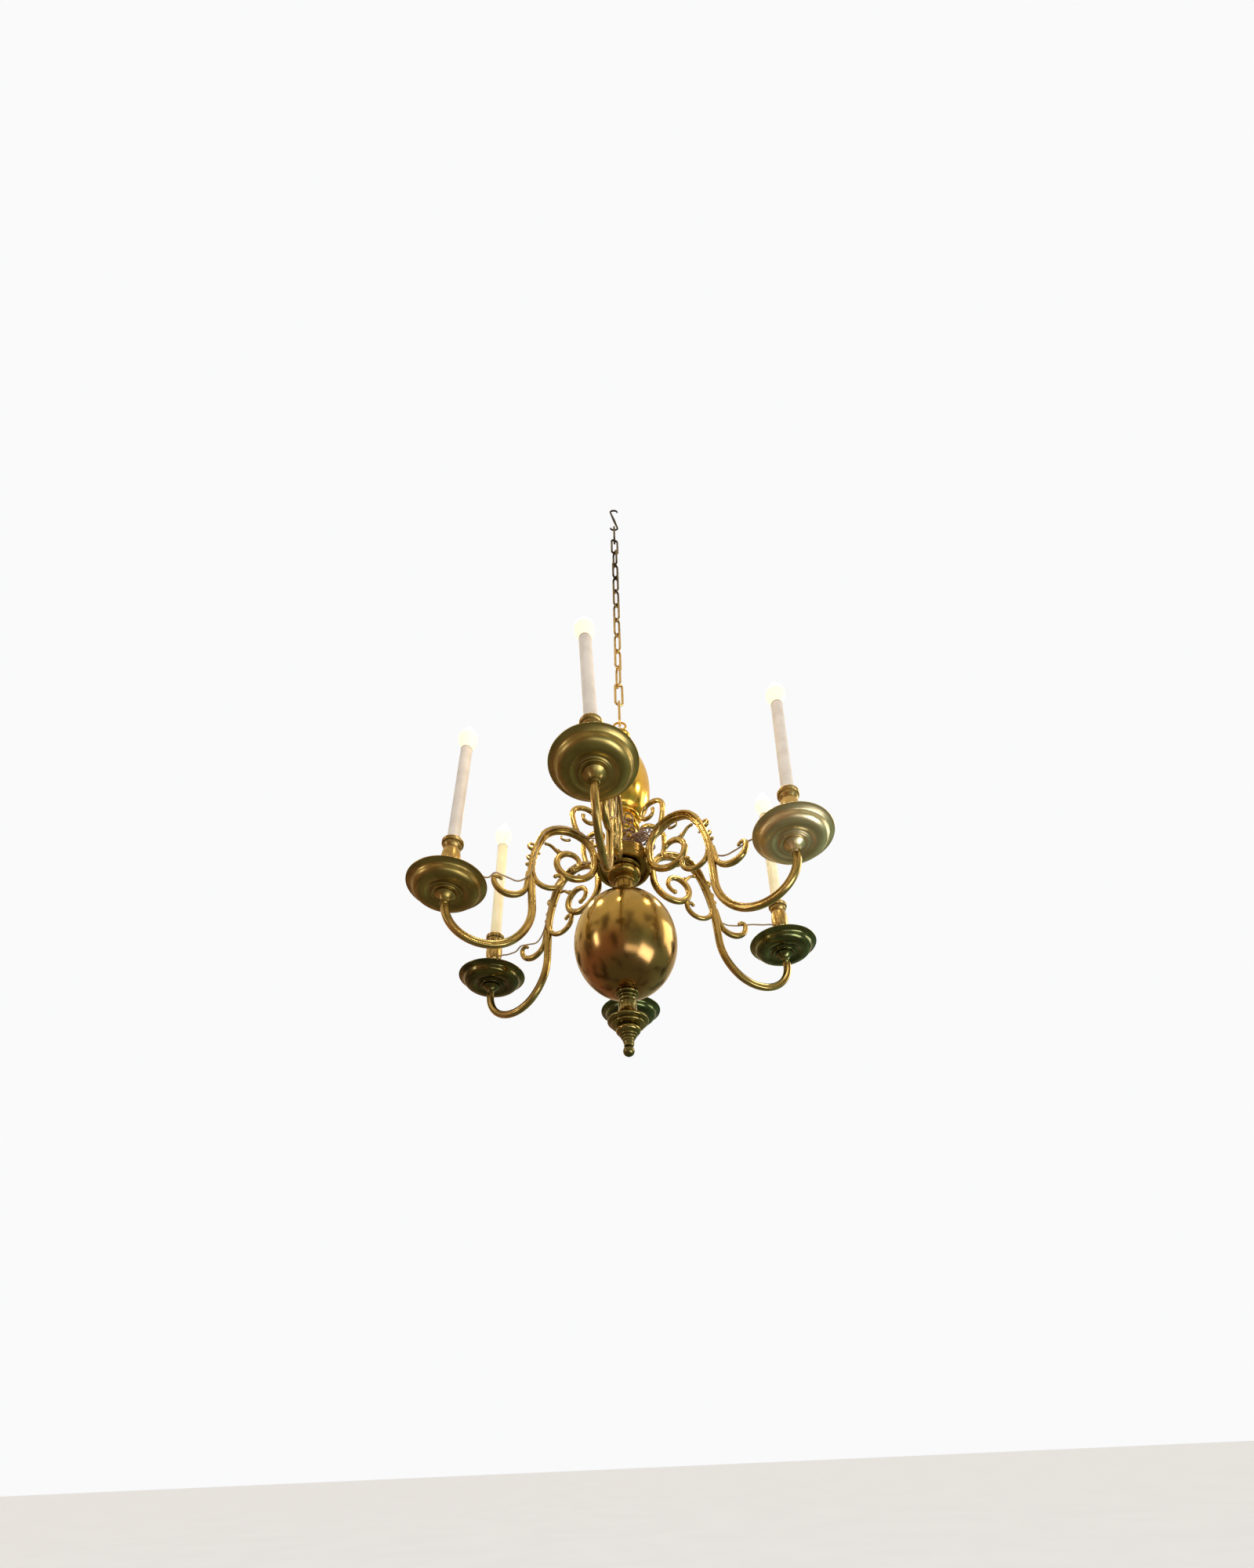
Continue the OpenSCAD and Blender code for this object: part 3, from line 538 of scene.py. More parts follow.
def bar(name, points, shape=None, closed=False):
    """A bar drawn along flat points (x, z, thickness) in millimetres, upright in the XZ plane."""
    data = bpy.data.curves.new(name, "CURVE")
    data.dimensions = "2D"
    spline = data.splines.new("POLY")
    spline.points.add(len(points) - 1)
    for point, (x, z, thick) in zip(spline.points, points):
        point.co = (x * MM, z * MM, 0, 1)
        point.radius = thick * MM
    spline.use_cyclic_u = closed
    data.bevel_mode = "OBJECT"
    data.bevel_object = shape or ROUND
    data.use_fill_caps = not closed
    pick(linked(name, data))
    bpy.ops.object.convert(target="MESH")
    piece = bpy.context.object
    piece.data.transform(Matrix.Rotation(math.radians(90), 4, "X"))
    clean_up()
    return piece


def joined(name, parts, angle=40):
    """Several meshes made one piece."""
    pick(*parts)
    bpy.ops.object.join()
    piece = bpy.context.object
    piece.name = name
    piece.data.name = name
    bpy.ops.object.shade_smooth_by_angle(angle=math.radians(angle))
    return piece


def copy_of(piece, name, place):
    """A copy with a mesh of its own, put in place."""
    mesh = piece.data.copy()
    mesh.transform(place)
    return linked(name, mesh)


def wire(name, points, thick, closed=False):
    """A round wire on a smooth curve through points in millimetres."""
    data = bpy.data.curves.new(name, "CURVE")
    data.dimensions = "3D"
    data.bevel_depth = thick / 2 * MM
    data.bevel_resolution = 3
    data.resolution_u = 5
    data.use_fill_caps = not closed
    spline = data.splines.new("BEZIER")
    spline.bezier_points.add(len(points) - 1)
    for point, co in zip(spline.bezier_points, points):
        point.co = Vector(co) * MM
        point.handle_left_type = point.handle_right_type = "AUTO"
    spline.use_cyclic_u = closed
    pick(linked(name, data))
    bpy.ops.object.convert(target="MESH")
    piece = bpy.context.object
    bpy.ops.object.shade_smooth_by_angle(angle=math.radians(40))
    return piece


# ---------------------------------------------------------------- hub and stem

BORE_R = 5.3
SEAT_GAP = 0.1


def tall(node):
    """Height of a stem piece in millimetres."""
    low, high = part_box(node)
    return round((high.z - low.z) / MM, 1)


def stem_piece(name, outline, slot, material, angle=32, steps=96):
    """A turned piece of the stem; its outline is measured up from the node's lower edge."""
    place = Matrix.Translation((0, 0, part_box(name)[0].z))
    piece = turned(name + "_turned", outline, place, steps, angle)
    return finish_piece(piece, HUB_BODY, slot, material, name)


def make_vase():
    """Long swelling vase with ringed ends."""
    high = tall("vase") - SEAT_GAP
    outline = (
        [(BORE_R, high), (9, high), (12.6, high - 1.6)]
        + arc(16, high - 9.5, 6.8, 78, -62, 10)
        + [(16.4, high - 17), (15.2, high - 20)]
        + arc(19.5, high - 25.5, 3.2, 150, -90, 8)
        + [(18.5, high - 31), (17.4, high - 36)]
        + [(17.2, high - 43), (18.2, high - 55), (20.6, high - 68)]
        + oval(23, 120, 36.5, 106, 66, 0, 26)
        + oval(30, 120, 29.5, 83, -6, -74, 22)
        + [(36.5, 38.5), (34.5, 37), (35.4, 34.5)]
        + arc(32.4, 31.5, 3.2, 50, -60, 6)
        + [(28.6, 27.5), (27.2, 22), (28.2, 15)]
        + arc(31.2, 9.6, 3.1, 110, 0, 5)
        + arc(31.0, 3.2, 3.0, 0, -90, 5)
        + [(24, 0.05), (BORE_R, 0.05)]
    )
    stem_piece("vase", outline, "vase_brass", VASE, 30)


def make_collar():
    """Wiring collar with a half-round band and a waist for the spare wire."""
    high = tall("vase_collar") - SEAT_GAP
    outline = (
        [(BORE_R, high), (28, high), (29.4, high - 1.4)]
        + arc(21, high - 16, 11, 72, -76, 14)
        + [(24.8, high - 29), (24.8, high - 31.5), (24, high - 33)]
        + [(24, 6), (26, 4.2), (28, 3.4), (28, 0.1), (BORE_R, 0.1)]
    )
    stem_piece("vase_collar", outline, "vase_brass", VASE)


def make_drum():
    """The drum has fine turned rings and a dark hollow underneath."""
    high = tall("hub_drum")
    rim = 52
    rings, ring_pitch = [], 4.1
    for k in range(7):
        z = high - 3 - k * ring_pitch
        rings += [(rim - 1.1, z + 1.4), (rim, z + 0.8), (rim, z - 0.8), (rim - 1.1, z - 1.4)]
    outline = (
        [(BORE_R, high), (44, high), (46, high - 0.6), (rim - 1.8, high - 1)]
        + rings
        + [(rim - 0.8, 1.6), (rim - 1.4, 0.4), (rim - 3, 0), (46.4, 0), (45.2, 0.8), (45, 2.5)]
        + [(45, 8), (44, 9.1), (BORE_R, 9.1)]
    )
    stem_piece("hub_drum", outline, "hub_brass", HUB, 28, 128)


def make_knob():
    """Neck and knob under the drum, spread at its foot to sit on the globe."""
    top = tall("hub_knob") - SEAT_GAP
    outline = (
        [(BORE_R, top), (20, top), (20, top - 2.6)]
        + arc(31.0, top - 4.4, 2.2, 110, -70, 6)
        + [(29.5, top - 8)]
        + oval(17, 62, 16, 14.5, 48, -86, 18)
        + [(18.2, 46.8), (18, 44)]
        + arc(18.4, 40.8, 2.4, 80, -80, 7)
        + [(17.8, 37.6), (18, 35)]
        + arc(30, 22, 12.2, 172, 232, 8)
        + [(25.2, 9.6), (25.2, 7.6)]
        + arc(24.6, 5.2, 1.9, 90, -60, 5)
        + [(26, 2.6), (26, 0.1), (BORE_R, 0.1)]
    )
    stem_piece("hub_knob", outline, "hub_brass", HUB)


def make_globe():
    """The globe is spun thin and closes on a flat seat at each end."""
    half, across, seat = tall("globe") / 2, 92, 25
    rise = half / math.sqrt(1 - (seat / across) ** 2)
    cut = math.degrees(math.asin(half / rise))
    shell = [(r, z + half) for r, z in oval(0, 0, across, rise, cut, -cut, 72)]
    outline = [(BORE_R, 2 * half), *shell, (BORE_R, 0)]
    stem_piece("globe", outline, "globe_brass", GLOBE, 30, 128)


def make_ring_collar():
    """Three-ringed collar that reaches up to the globe."""
    high = tall("ring_collar") + SEAT_GAP
    outline = (
        [(BORE_R, high)]
        + arc(17, high - 3.3, 3.2, 90, -90, 9)
        + [(15.2, high - 6.9)]
        + arc(13.8, high - 9.3, 2.4, 80, -90, 8)
        + arc(23, high - 17, 9, 160, 218, 7)
        + [(15.8, 1.4), (15.2, 0.1), (BORE_R, 0.1)]
    )
    stem_piece("ring_collar", outline, "globe_brass", PENDANT)


def make_pendant():
    """Stepped pendant that narrows to the finial."""
    high = tall("pendant") - SEAT_GAP
    outline = (
        [(BORE_R, high), (15.6, high), (15.2, high - 4), (16.6, high - 14), (19.6, high - 20.5)]
        + [(24.5, high - 26), (28.5, high - 27.8)]
        + arc(31.2, high - 31.4, 3.2, 80, -70, 9)
        + [(30.4, high - 35.2)]
        + arc(25.4, high - 38.2, 3, 60, -80, 8)
        + [(22.4, high - 41.6), (19.6, high - 42)]
        + oval(11.5, high - 49, 9, 7.6, 62, -46, 12)
        + [(14.4, high - 56.2)]
        + arc(13.2, high - 57.8, 1.7, 50, -60, 6)
        + [(11.4, high - 60)]
        + arc(10.6, high - 62.2, 2.0, 70, -80, 6)
        + [(9.7, 1.0), (9.6, 0.1), (BORE_R, 0.1)]
    )
    stem_piece("pendant", outline, "globe_brass", PENDANT)


def make_finial():
    """Small ball that closes the rod."""
    high = tall("finial_nut") - SEAT_GAP
    outline = (
        [(0, high), (9.5, high), (9.7, 28.6), (8.5, 27.2), (8.7, 25), (7.9, 23.4), (7.4, 20.4)]
        + [(7.8, 18.4)]
        + arc(0, 9.6, 9.45, 60, -90, 18)
    )
    stem_piece("finial_nut", outline, "globe_brass", PENDANT)


def make_eye():
    """Lifting eye: a ring on a short turned shank, with a small collar where the shank meets the vase."""
    low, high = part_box("stem_eye")
    ring_r, wire_r = 13.5, 2.5
    ring_z = high.z / MM - ring_r - wire_r
    circle = oval(0, ring_z, ring_r, ring_r, 0, 360, 48)[:-1]
    ring = bar("eye_ring", [(x, z, wire_r) for x, z in circle], closed=True)
    outline = (
        [(0, 0), (7.6, 0), (8, 0.4), (8, 3.6), (7.2, 4.6)]
        + arc(6.6, 6.8, 1.5, -60, 80, 6)
        + [(5.8, 9.4), (5.4, 13), (6.2, 15.4), (5.2, 17.2), (0, 17.6)]
    )
    shank = turned("eye_shank", outline, Matrix.Translation((0, 0, low.z)), 48)
    finish_piece(joined("stem_eye_cast", [ring, shank]), HUB_BODY, "gold_brass", VASE, "stem_eye")


make_vase()
make_collar()
make_drum()
make_knob()
make_globe()
make_ring_collar()
make_pendant()
make_finial()
make_eye()


# ---------------------------------------------------------------- hanging

def link_bar(name, top_z, angle):
    """One closed link of round wire whose inner top is at top_z, turned about the vertical."""
    wire_r = LINK_SWOLLEN / 2
    inner_r = LINK_WIDTH / 2 - LINK_SWOLLEN
    middle_r = inner_r + wire_r
    straight = LINK_PITCH + LINK_GAP - 2 * inner_r
    centres = (top_z - inner_r, top_z - inner_r - straight)
    points = [(x, z, wire_r) for x, z in oval(0, centres[0], middle_r, middle_r, 0, 180, 12)]
    points += [(x, z, wire_r) for x, z in oval(0, centres[1], middle_r, middle_r, 180, 360, 12)]
    piece = bar(name, points, closed=True)
    # the brazed joint of the link, halfway up one leg
    swell = [(0, -6), (0.7, -6), (0.98, -4), (1.12, -1), (1.1, 1.6), (0.98, 4), (0.68, 6), (0, 6)]
    braze = turned("braze", [(r * wire_r, z) for r, z in swell],
                   Matrix.Translation((middle_r * MM, 0, (centres[0] + centres[1]) / 2 * MM)), 12)
    piece = joined(name, [piece, braze])
    piece.data.transform(Matrix.Rotation(math.radians(angle), 4, "Z"))
    return piece


def link_angle(k):
    """The links cross each other; the whole run is twisted a little in its middle."""
    twist = LINK_TWIST * min(1, (k - 1) / 3, (LINKS - k) / 3)
    return (90 if k % 2 else 0) + twist


def make_chain():
    """Thirteen links in four rigid runs."""
    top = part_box("chain_link_top")[1].z / MM - LINK_WIRE
    runs = {
        "chain_link_top": ([1], "link_top", "iron"),
        "chain_upper": (range(2, (LINKS + 3) // 2), "chain_upper", "dark_brass"),
        "chain_lower": (range((LINKS + 3) // 2, LINKS), "chain_lower", "gold_brass"),
        "chain_link_bottom": ([LINKS], "link_bottom", "gold_brass"),
    }
    for node, (numbers, body, slot) in runs.items():
        links = [link_bar(f"link_{k}", top - (k - 1) * LINK_PITCH, link_angle(k)) for k in numbers]
        finish_piece(joined(node + "_links", links), body, slot, CHAIN, node)


def make_hook():
    """An S-hook bent from round iron wire, with rounded tips."""
    low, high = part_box("ceiling_hook")
    reach = (high.z - low.z) / MM - 2 * HOOK_WIRE
    middle_r = HOOK_R + HOOK_WIRE / 2
    apart = reach - 2 * HOOK_R
    lean = math.degrees(math.asin(2 * middle_r / apart))
    shank = math.sqrt(apart ** 2 - 4 * middle_r ** 2)
    wire_r = HOOK_WIRE / 2
    points = follow((middle_r, -HOOK_R, 90, wire_r), [
        (middle_r, 180 + lean, wire_r), (0, shank / 2, wire_r * 1.5), (0, shank / 2, wire_r),
        (middle_r, -180 - lean, wire_r)])
    (x0, z0, _), (x1, z1, _) = points[0], points[-1]
    tip = [(x0, z0 - 2.4, 0.8), (x0, z0 - 2, 1.7), (x0, z0 - 1.1, 2.3)]
    end = [(x1, z1 + 1.1, 2.3), (x1, z1 + 2, 1.7), (x1, z1 + 2.4, 0.8)]
    hook = joined("hook_wire", [bar("hook", tip + points + end)])
    finish_piece(hook, "hanger", "iron", IRON, "ceiling_hook")


make_chain()
make_hook()


# ---------------------------------------------------------------- arms

def candle_joints():
    """Pan bottom centre (mm), candle axis and bearing of each arm, from the lamps' screw joints."""
    places = {}
    for joint in frame["joints"]:
        if joint["name"].startswith("bulb_"):
            foot = Vector(joint["pos_m"]) / MM
            arm = int(joint["name"].split("_")[1])
            places[arm] = (foot, Vector(joint["axis"]).normalized(), math.atan2(foot.y, foot.x))
    return places


CANDLES = candle_joints()
CROWN_X = ROOT_R + CROWN_R
SWEEP_COS = math.cos(math.radians(SWEEP_TURN))
STEM_R = CROWN_X + CROWN_R * SWEEP_COS + SWEEP_R * (1 - SWEEP_COS)
HALF_COS = math.cos(math.radians(45))
BEND_R = (ARM_REACH - STEM_R) / (BEND_LEAD * (1 - HALF_COS) + 1 + HALF_COS)
ARM_THICK = 7
MAIN_ROD = follow((ROOT_R, 0, 90, ARM_THICK), [
    (CROWN_R, SWEEP_TURN - 180, ARM_THICK), (SWEEP_R, -SWEEP_TURN, ARM_THICK), (0, STEM_LEN, ARM_THICK),
    (BEND_LEAD * BEND_R, 45, ARM_THICK), (BEND_R, 135, ARM_THICK), (0, TIP_LEN, ARM_THICK)], 5)
STEM_TOP = [p for p in MAIN_ROD if p[0] > STEM_R - 0.01][0]
STEM_UP = STEM_TOP[1]
ARM_TIP = (MAIN_ROD[-1][0], MAIN_ROD[-1][1])
BUD_SQUASH = 0.85


def bud(x, z, size):
    """A round knop on a scroll, a little flattened across the arm."""
    knop = turned("knop", arc(0, 0, size, 90, -90, 12), Matrix.Diagonal((1, BUD_SQUASH, 1, 1)), 16)
    knop.data.transform(Matrix.Translation((x * MM, 0, z * MM)))
    return knop


def scroll_parts():
    """The cast scrolls of one arm: flat paths from the hub outwards."""
    swept = [
        # inner spiral, down from the hub, under and back up round itself
        (follow((ROOT_R, 0, -90, 6.5),
                [(0, CROWN_R * 0.385, 6.7), (46, 80, 6.6), (31, 160, 5.8), (19, 190, 3.8)]), SCROLL, 5.2),
        # upper scroll beside the vase
        (follow((CROWN_X - 28, 42.1, 66, 5.4),
                [(150, 24, 5.4), (25, 180, 5.2), (14, 200, 3.2)]), SCROLL, 4.4),
        # scroll between stem and spiral
        (follow((STEM_R - 4, STEM_UP + 7, -90, 5.0), [(27, -180, 4.8), (7, -150, 3.2)]), SCROLL, 4.2),
        # outer scroll under the flex
        (follow((STEM_R + 5, STEM_UP + 8, -83, 4.6),
                [(0, 32, 4.8), (29, 90, 6.2), (29, 83, 4.6), (7, 150, 2.8)]), SCROLL, 3.6),
        # tendril from the spiral to the underside of the crown
        (follow((CROWN_X + 16, -10, 48, 3.6), [(0, 19, 3.2), (16, -50, 2.6)]), ROUND, 3.4),
        # small hooked leaves on the tendril and on the stem
        (follow((CROWN_X + 15, -6, 150, 3.2), [(9, 80, 2.4), (4, 60, 1.6)]), ROUND, 1.9),
        (follow((STEM_R - 5, STEM_UP + 62, -120, 3.4), [(9, -70, 2.2), (4, -60, 1.4)]), ROUND, 1.7),
        (follow((CROWN_X - 6, 32, -40, 3.0), [(14, 60, 2.2), (5, 110, 1.5)]), ROUND, 1.8),
    ]
    made = []
    for path, shape, ball in swept:
        made.append(bar("scroll", path, shape))
        made.append(bud(path[-1][0], path[-1][1], ball))
    return made


def leaf(start, moves, lobes, grow):
    """A leaf laid over the outer side of a bar: its edge swells into lobes along the way."""
    path = follow(start, moves, 2.5)
    last = len(path) - 1
    points = []
    for k, (x, z, thick) in enumerate(path):
        t = k / last
        swell = 1 + grow * abs(math.sin(math.pi * lobes * t)) ** 0.7
        points.append((x, z, thick * swell * min(1, 0.35 + 6 * t, 0.25 + 5 * (1 - t))))
    return bar("leaf", points, LEAF)


def along_sweep(up):
    """Distance from the hub of the arm's middle line, at a height above the stem's top."""
    return STEM_R - SWEEP_R + math.sqrt(SWEEP_R ** 2 - up ** 2)


def arm_casting():
    """One arm as cast: fluted bar, scrolls, leaves and buds, in the XZ plane at the height of the lug."""
    parts = [bar("arm_bar", MAIN_ROD, FLUTED)] + scroll_parts()
    # broad leaf laid over the outer side of the crown, down to the stem
    start = math.radians(142)
    out = CROWN_R + LEAF_OUT
    parts.append(leaf((CROWN_X + out * math.cos(start), out * math.sin(start), 52, 8.0),
                      [(out, -114, 10.2), (SWEEP_R + LEAF_OUT, -23, 6.6)], 9, 0.06))
    # leaf tips that curl off where the stem begins
    for up, heading, size in ((76, -64, 1.0), (48, -76, 0.7)):
        curl = follow((along_sweep(up) + 1, STEM_UP + up, heading, 5.6 * size),
                      [(15 * size, 34, 4.6 * size), (6 * size, 215, 2.4 * size)])
        parts += [bar("leaf_tip", curl, SCROLL), bud(curl[-1][0], curl[-1][1], 2.9 * size)]
    parts.append(bud(along_sweep(30) + 8.6, STEM_UP + 28, 3.8))
    parts.append(bud(CROWN_X + 19, -3, 4.6))
    return joined("arm_casting", parts, 38)


def seat_funnel():
    """The arm's end spreads into a round seat under the drip pan."""
    wide, narrow, edge, high, steps = 17, 7.2, 1.6, 20, 12
    flare = []
    for k in range(steps + 1):
        down = k / steps
        flare.append((narrow + (wide - narrow) * (1 - down) ** 2.4, -edge - (high - edge) * down))
    top = [(0, -0.05), (wide - 0.6, -0.05), (wide, -0.6)]
    foot = [(6.4, -high - 1.2), (0, -high - 1.2)]
    return turned("seat", top + flare + foot, None, 40)


LUG_SIZE = (23, 9, 17)
LUG_R = 50.5
LUG_EDGE = 1.2


def lug_block():
    """The flat tenon that sits in the drum."""
    nothing_selected()
    bpy.ops.mesh.primitive_cube_add(size=1)
    block = bpy.context.object
    block.data.transform(Matrix.Diagonal((*(side * MM for side in LUG_SIZE), 1)))
    block.data.transform(Matrix.Translation((LUG_R * MM, 0, 0)))
    edge = block.modifiers.new("edge", "BEVEL")
    edge.width = LUG_EDGE * MM
    edge.segments = 2
    pick(block)
    bpy.ops.object.modifier_apply(modifier="edge")
    return block


def place_arm(arm):
    """Place of an arm at the hub, with and without the small angle by which it has risen or sunk."""
    foot, _, bearing = CANDLES[arm]
    as_drawn = math.atan2(ARM_TIP[1], ARM_TIP[0] - PIVOT_R)
    risen = math.atan2(foot.z - LUG_Z, foot.xy.length - PIVOT_R) - as_drawn
    at_hub = Matrix.Rotation(bearing, 4, "Z") @ Matrix.Translation((0, 0, LUG_Z * MM))
    pivot = Matrix.Translation((PIVOT_R * MM, 0, 0))
    return at_hub @ pivot @ Matrix.Rotation(-risen, 4, "Y") @ pivot.inverted(), at_hub


def candle_place(arm):
    """Place of a candle: its pan's bottom centre, its lean and its bearing."""
    foot, axis, bearing = CANDLES[arm]
    lean = Vector((0, 0, 1)).rotation_difference(axis).to_matrix().to_4x4()
    return Matrix.Translation(foot * MM) @ lean @ Matrix.Rotation(bearing, 4, "Z")


def make_arms():
    """Six copies of one casting, each with its lug and its seat for the drip pan."""
    casting, seat, block = arm_casting(), seat_funnel(), lug_block()
    for arm in ARMS:
        in_arm, at_hub = place_arm(arm)
        parts = [
            copy_of(casting, f"arm_{arm}_cast", in_arm),
            copy_of(block, f"arm_{arm}_lug", at_hub),
        ]
        finish_piece(joined(f"arm_{arm}_cast", parts, 38), HUB_BODY, "arm_brass", GOLD, f"arm_{arm}")
        finish_piece(copy_of(seat, f"arm_{arm}_seat", candle_place(arm)), HUB_BODY, "arm_brass", PAN[arm])
    for thing in (casting, seat, block):
        bpy.data.objects.remove(thing)


make_arms()


# ---------------------------------------------------------------- candles

def pan_outline():
    """Drip pan: raised ring and full belly below, a shallow groove, then a flat lip with a rolled rim."""
    under = (
        [(0, 0.06), (19.4, 0.06), (20.2, -0.2)]
        + arc(22, 0.9, 1.6, 225, 355, 7)
        + [(24.2, 3.0), (26, 4.3), (29, 4.2), (32, 2.9)]
        + oval(38, 15, 17.4, 13.6, -104, -6, 20)
        + [(55.7, 15.2), (56.6, 17.0), (58.2, 18.6), (61.0, 20.2), (63.4, 22)]
    )
    rim = arc(64.5, 23.5, 1.5, -40, 130, 7)
    wall = 1.5
    upper = [(63.2, 24.2), (60.2, 21.9), (57.2, 20.3), (55.0, 18.6), (54.0, 15.4)]
    upper += [(r, z + wall) for r, z in oval(38, 15, 15.9, 13.0, -6, -104, 18)]
    return under + rim + upper + [(28, 5.8), (22, 5.2), (19, 2.9), (0, 2.9)]


def cup_outline():
    """Candle cup: ringed mouth, long swelling body, ball, and a bell foot in the pan."""
    top = CUP_TOP
    return (
        [(0, 77), (11.3, 77), (11.3, top - 0.6), (11.9, top), (15.8, top), (17.6, top - 0.8)]
        + arc(16.4, top - 3.2, 2.5, 60, -40, 6)
        + [(17.6, top - 5.6)]
        + arc(17.2, top - 7.9, 1.6, 50, -60, 4)
        + [(15.4, top - 10.6), (14.8, top - 13.2)]
        + arc(14.6, top - 15, 1.5, 70, -60, 4)
        + [(14.6, top - 17.6)]
        + oval(10, top - 43, 6.4, 25, 66, -52, 16)
        + [(10.6, top - 66), (9.4, top - 70)]
        + arc(11, top - 75.6, 3.3, 76, -76, 9)
        + [(9.2, top - 81.6), (8.7, top - 88), (9.2, top - 97), (11, top - 105)]
        + oval(11.4, 8.6, 5.6, 12, 80, 0, 7)
        + [(17, 6), (17, 3.1), (0, 3.1)]
    )


def sleeve_outline():
    """Candle sleeve with softly rounded top edge and the thinnest drip of a lip."""
    outer, inner = SLEEVE_R, SLEEVE_R - 1
    return (
        [(inner, SLEEVE_FOOT + 0.1), (inner, SLEEVE_TOP - 1)]
        + arc(inner + 0.5, SLEEVE_TOP - 0.55, 0.5, 180, 20, 5)
        + [(outer, SLEEVE_TOP - 2.4), (outer + 0.05, 340), (outer - 0.1, 270), (outer, 190)]
        + [(outer - 0.05, SLEEVE_FOOT + 0.1), (inner, SLEEVE_FOOT + 0.1)]
    )


def holder_outline():
    """Lampholder: stalk, body inside the sleeve, rim over the sleeve's edge, with a bore for the lamp cap."""
    return [
        (0, 34.2), (3.5, 34.2), (3.5, 330), (5, 333), (9.6, 334), (9.6, SLEEVE_TOP), (11.2, SLEEVE_TOP + 0.1),
        (11.4, SLEEVE_TOP + 0.6), (11.2, SLEEVE_TOP + 1.7), (10.4, SLEEVE_TOP + RIM_H),
        (7.4, SLEEVE_TOP + RIM_H), (7.25, SLEEVE_TOP + 1.6), (7.25, 361), (0, 360.8),
    ]


def bulb_outline():
    """Candle lamp: threaded cap below, swelling glass above that draws in to a soft point."""
    seat = SLEEVE_TOP + RIM_H + 1
    threads = []
    for k in range(6):
        z = SLEEVE_TOP - 18 + k * 3.1
        threads += [(6.3, z), (6.85, z + 0.8), (6.85, z + 1.5), (6.3, z + 2.3)]
    swell = [(9.0, 0.1), (9.6, 2.6), (11.6, 8), (14.4, 14), (16.8, 20), (18.2, 26)]
    return (
        [(0, SLEEVE_TOP - 25), (3, SLEEVE_TOP - 24.8), (3.8, SLEEVE_TOP - 23), (6.2, SLEEVE_TOP - 20.4)]
        + threads
        + [(6.9, seat - 1.6), (6.9, seat - 0.4), (8.6, seat - 0.2)]
        + [(r, seat + up) for r, up in swell]
        + oval(0, seat + 31, 18.5, 28, 0, 58, 12)
        + oval(0, seat + 45, 9.9, 27, 24, 90, 10)
    )


def make_candles():
    """Pan, cup, sleeve, holder and lamp, each turned once and copied to every arm."""
    pieces = {
        "drip_pan": (pan_outline(), 96, 34, "pan_brass", PAN),
        "candle_cup": (cup_outline(), 56, 34, "cup_brass", CUP),
        "candle_sleeve": (sleeve_outline(), 40, 40, "ivory_sleeve", SLEEVE),
        "lampholder": (holder_outline(), 40, 34, "holder", HOLDER),
        "bulb": (bulb_outline(), 48, 40, "lamp_glass", GLASS),
    }
    for part, (outline, steps, angle, slot, material) in pieces.items():
        model = turned(part, outline, None, steps, angle)
        for arm in ARMS:
            node = f"{part}_{arm}"
            piece = copy_of(model, node + "_turned", candle_place(arm))
            body = node if part == "bulb" else HUB_BODY
            finish_piece(piece, body, slot, material[arm] if isinstance(material, dict) else material, node)
        bpy.data.objects.remove(model)


make_candles()


# ---------------------------------------------------------------- wiring

# Route of the flex on an arm, in the arm's plane: (x, y, z) in millimetres, z from the lug's height.
FLEX_ARM = [
    (34, 0, 34), (44, 3, 38), (56, 8, 41), (68, 10, 38), (82, 10, 41), (97, 10, 49), (112, 10, 52),
    (126, 10, 50), (139, 10, 45), (150, 10, 37), (158, 10, 27), (165, 10, 14), (170, 10, 0),
    (174, 10, -16), (178, 10, -34), (181, 10, -52), (184, 9.5, -68), (190, 8, -82), (199, 6, -93),
    (211, 5, -99), (224, 6.5, -97), (237, 7.5, -94), (250, 7, -91)
]
# The last stretch, from the drip pan's bottom and the candle's centre line.
FLEX_CANDLE = [(-66, 3, 58), (-52, 1, 60), (-38, 0, 63), (-26, 0, 67)]
FLEX_THICK = 3
# Its end goes on into the candle cup.
FLEX_END = (-9, 0, 70)
COIL_WIRE = 3.2
COIL_TURNS = 6
COIL_R = 26.4
COIL_UP = 9
LOOSE_LOOPS = 15
LOOP_WIRE = 3.0


def make_flexes():
    """A thin flex along every arm, from the hub to the candle cup."""
    for arm in ARMS:
        in_arm, _ = place_arm(arm)
        at_candle = candle_place(arm)
        points = [in_arm @ (Vector(p) * MM) / MM for p in FLEX_ARM]
        points += [at_candle @ (Vector(p) * MM) / MM for p in (*FLEX_CANDLE, FLEX_END)]
        flex = wire(f"arm_flex_{arm}_run", points, FLEX_THICK)
        finish_piece(flex, HUB_BODY, "wire_brown", FLEX, f"arm_flex_{arm}")


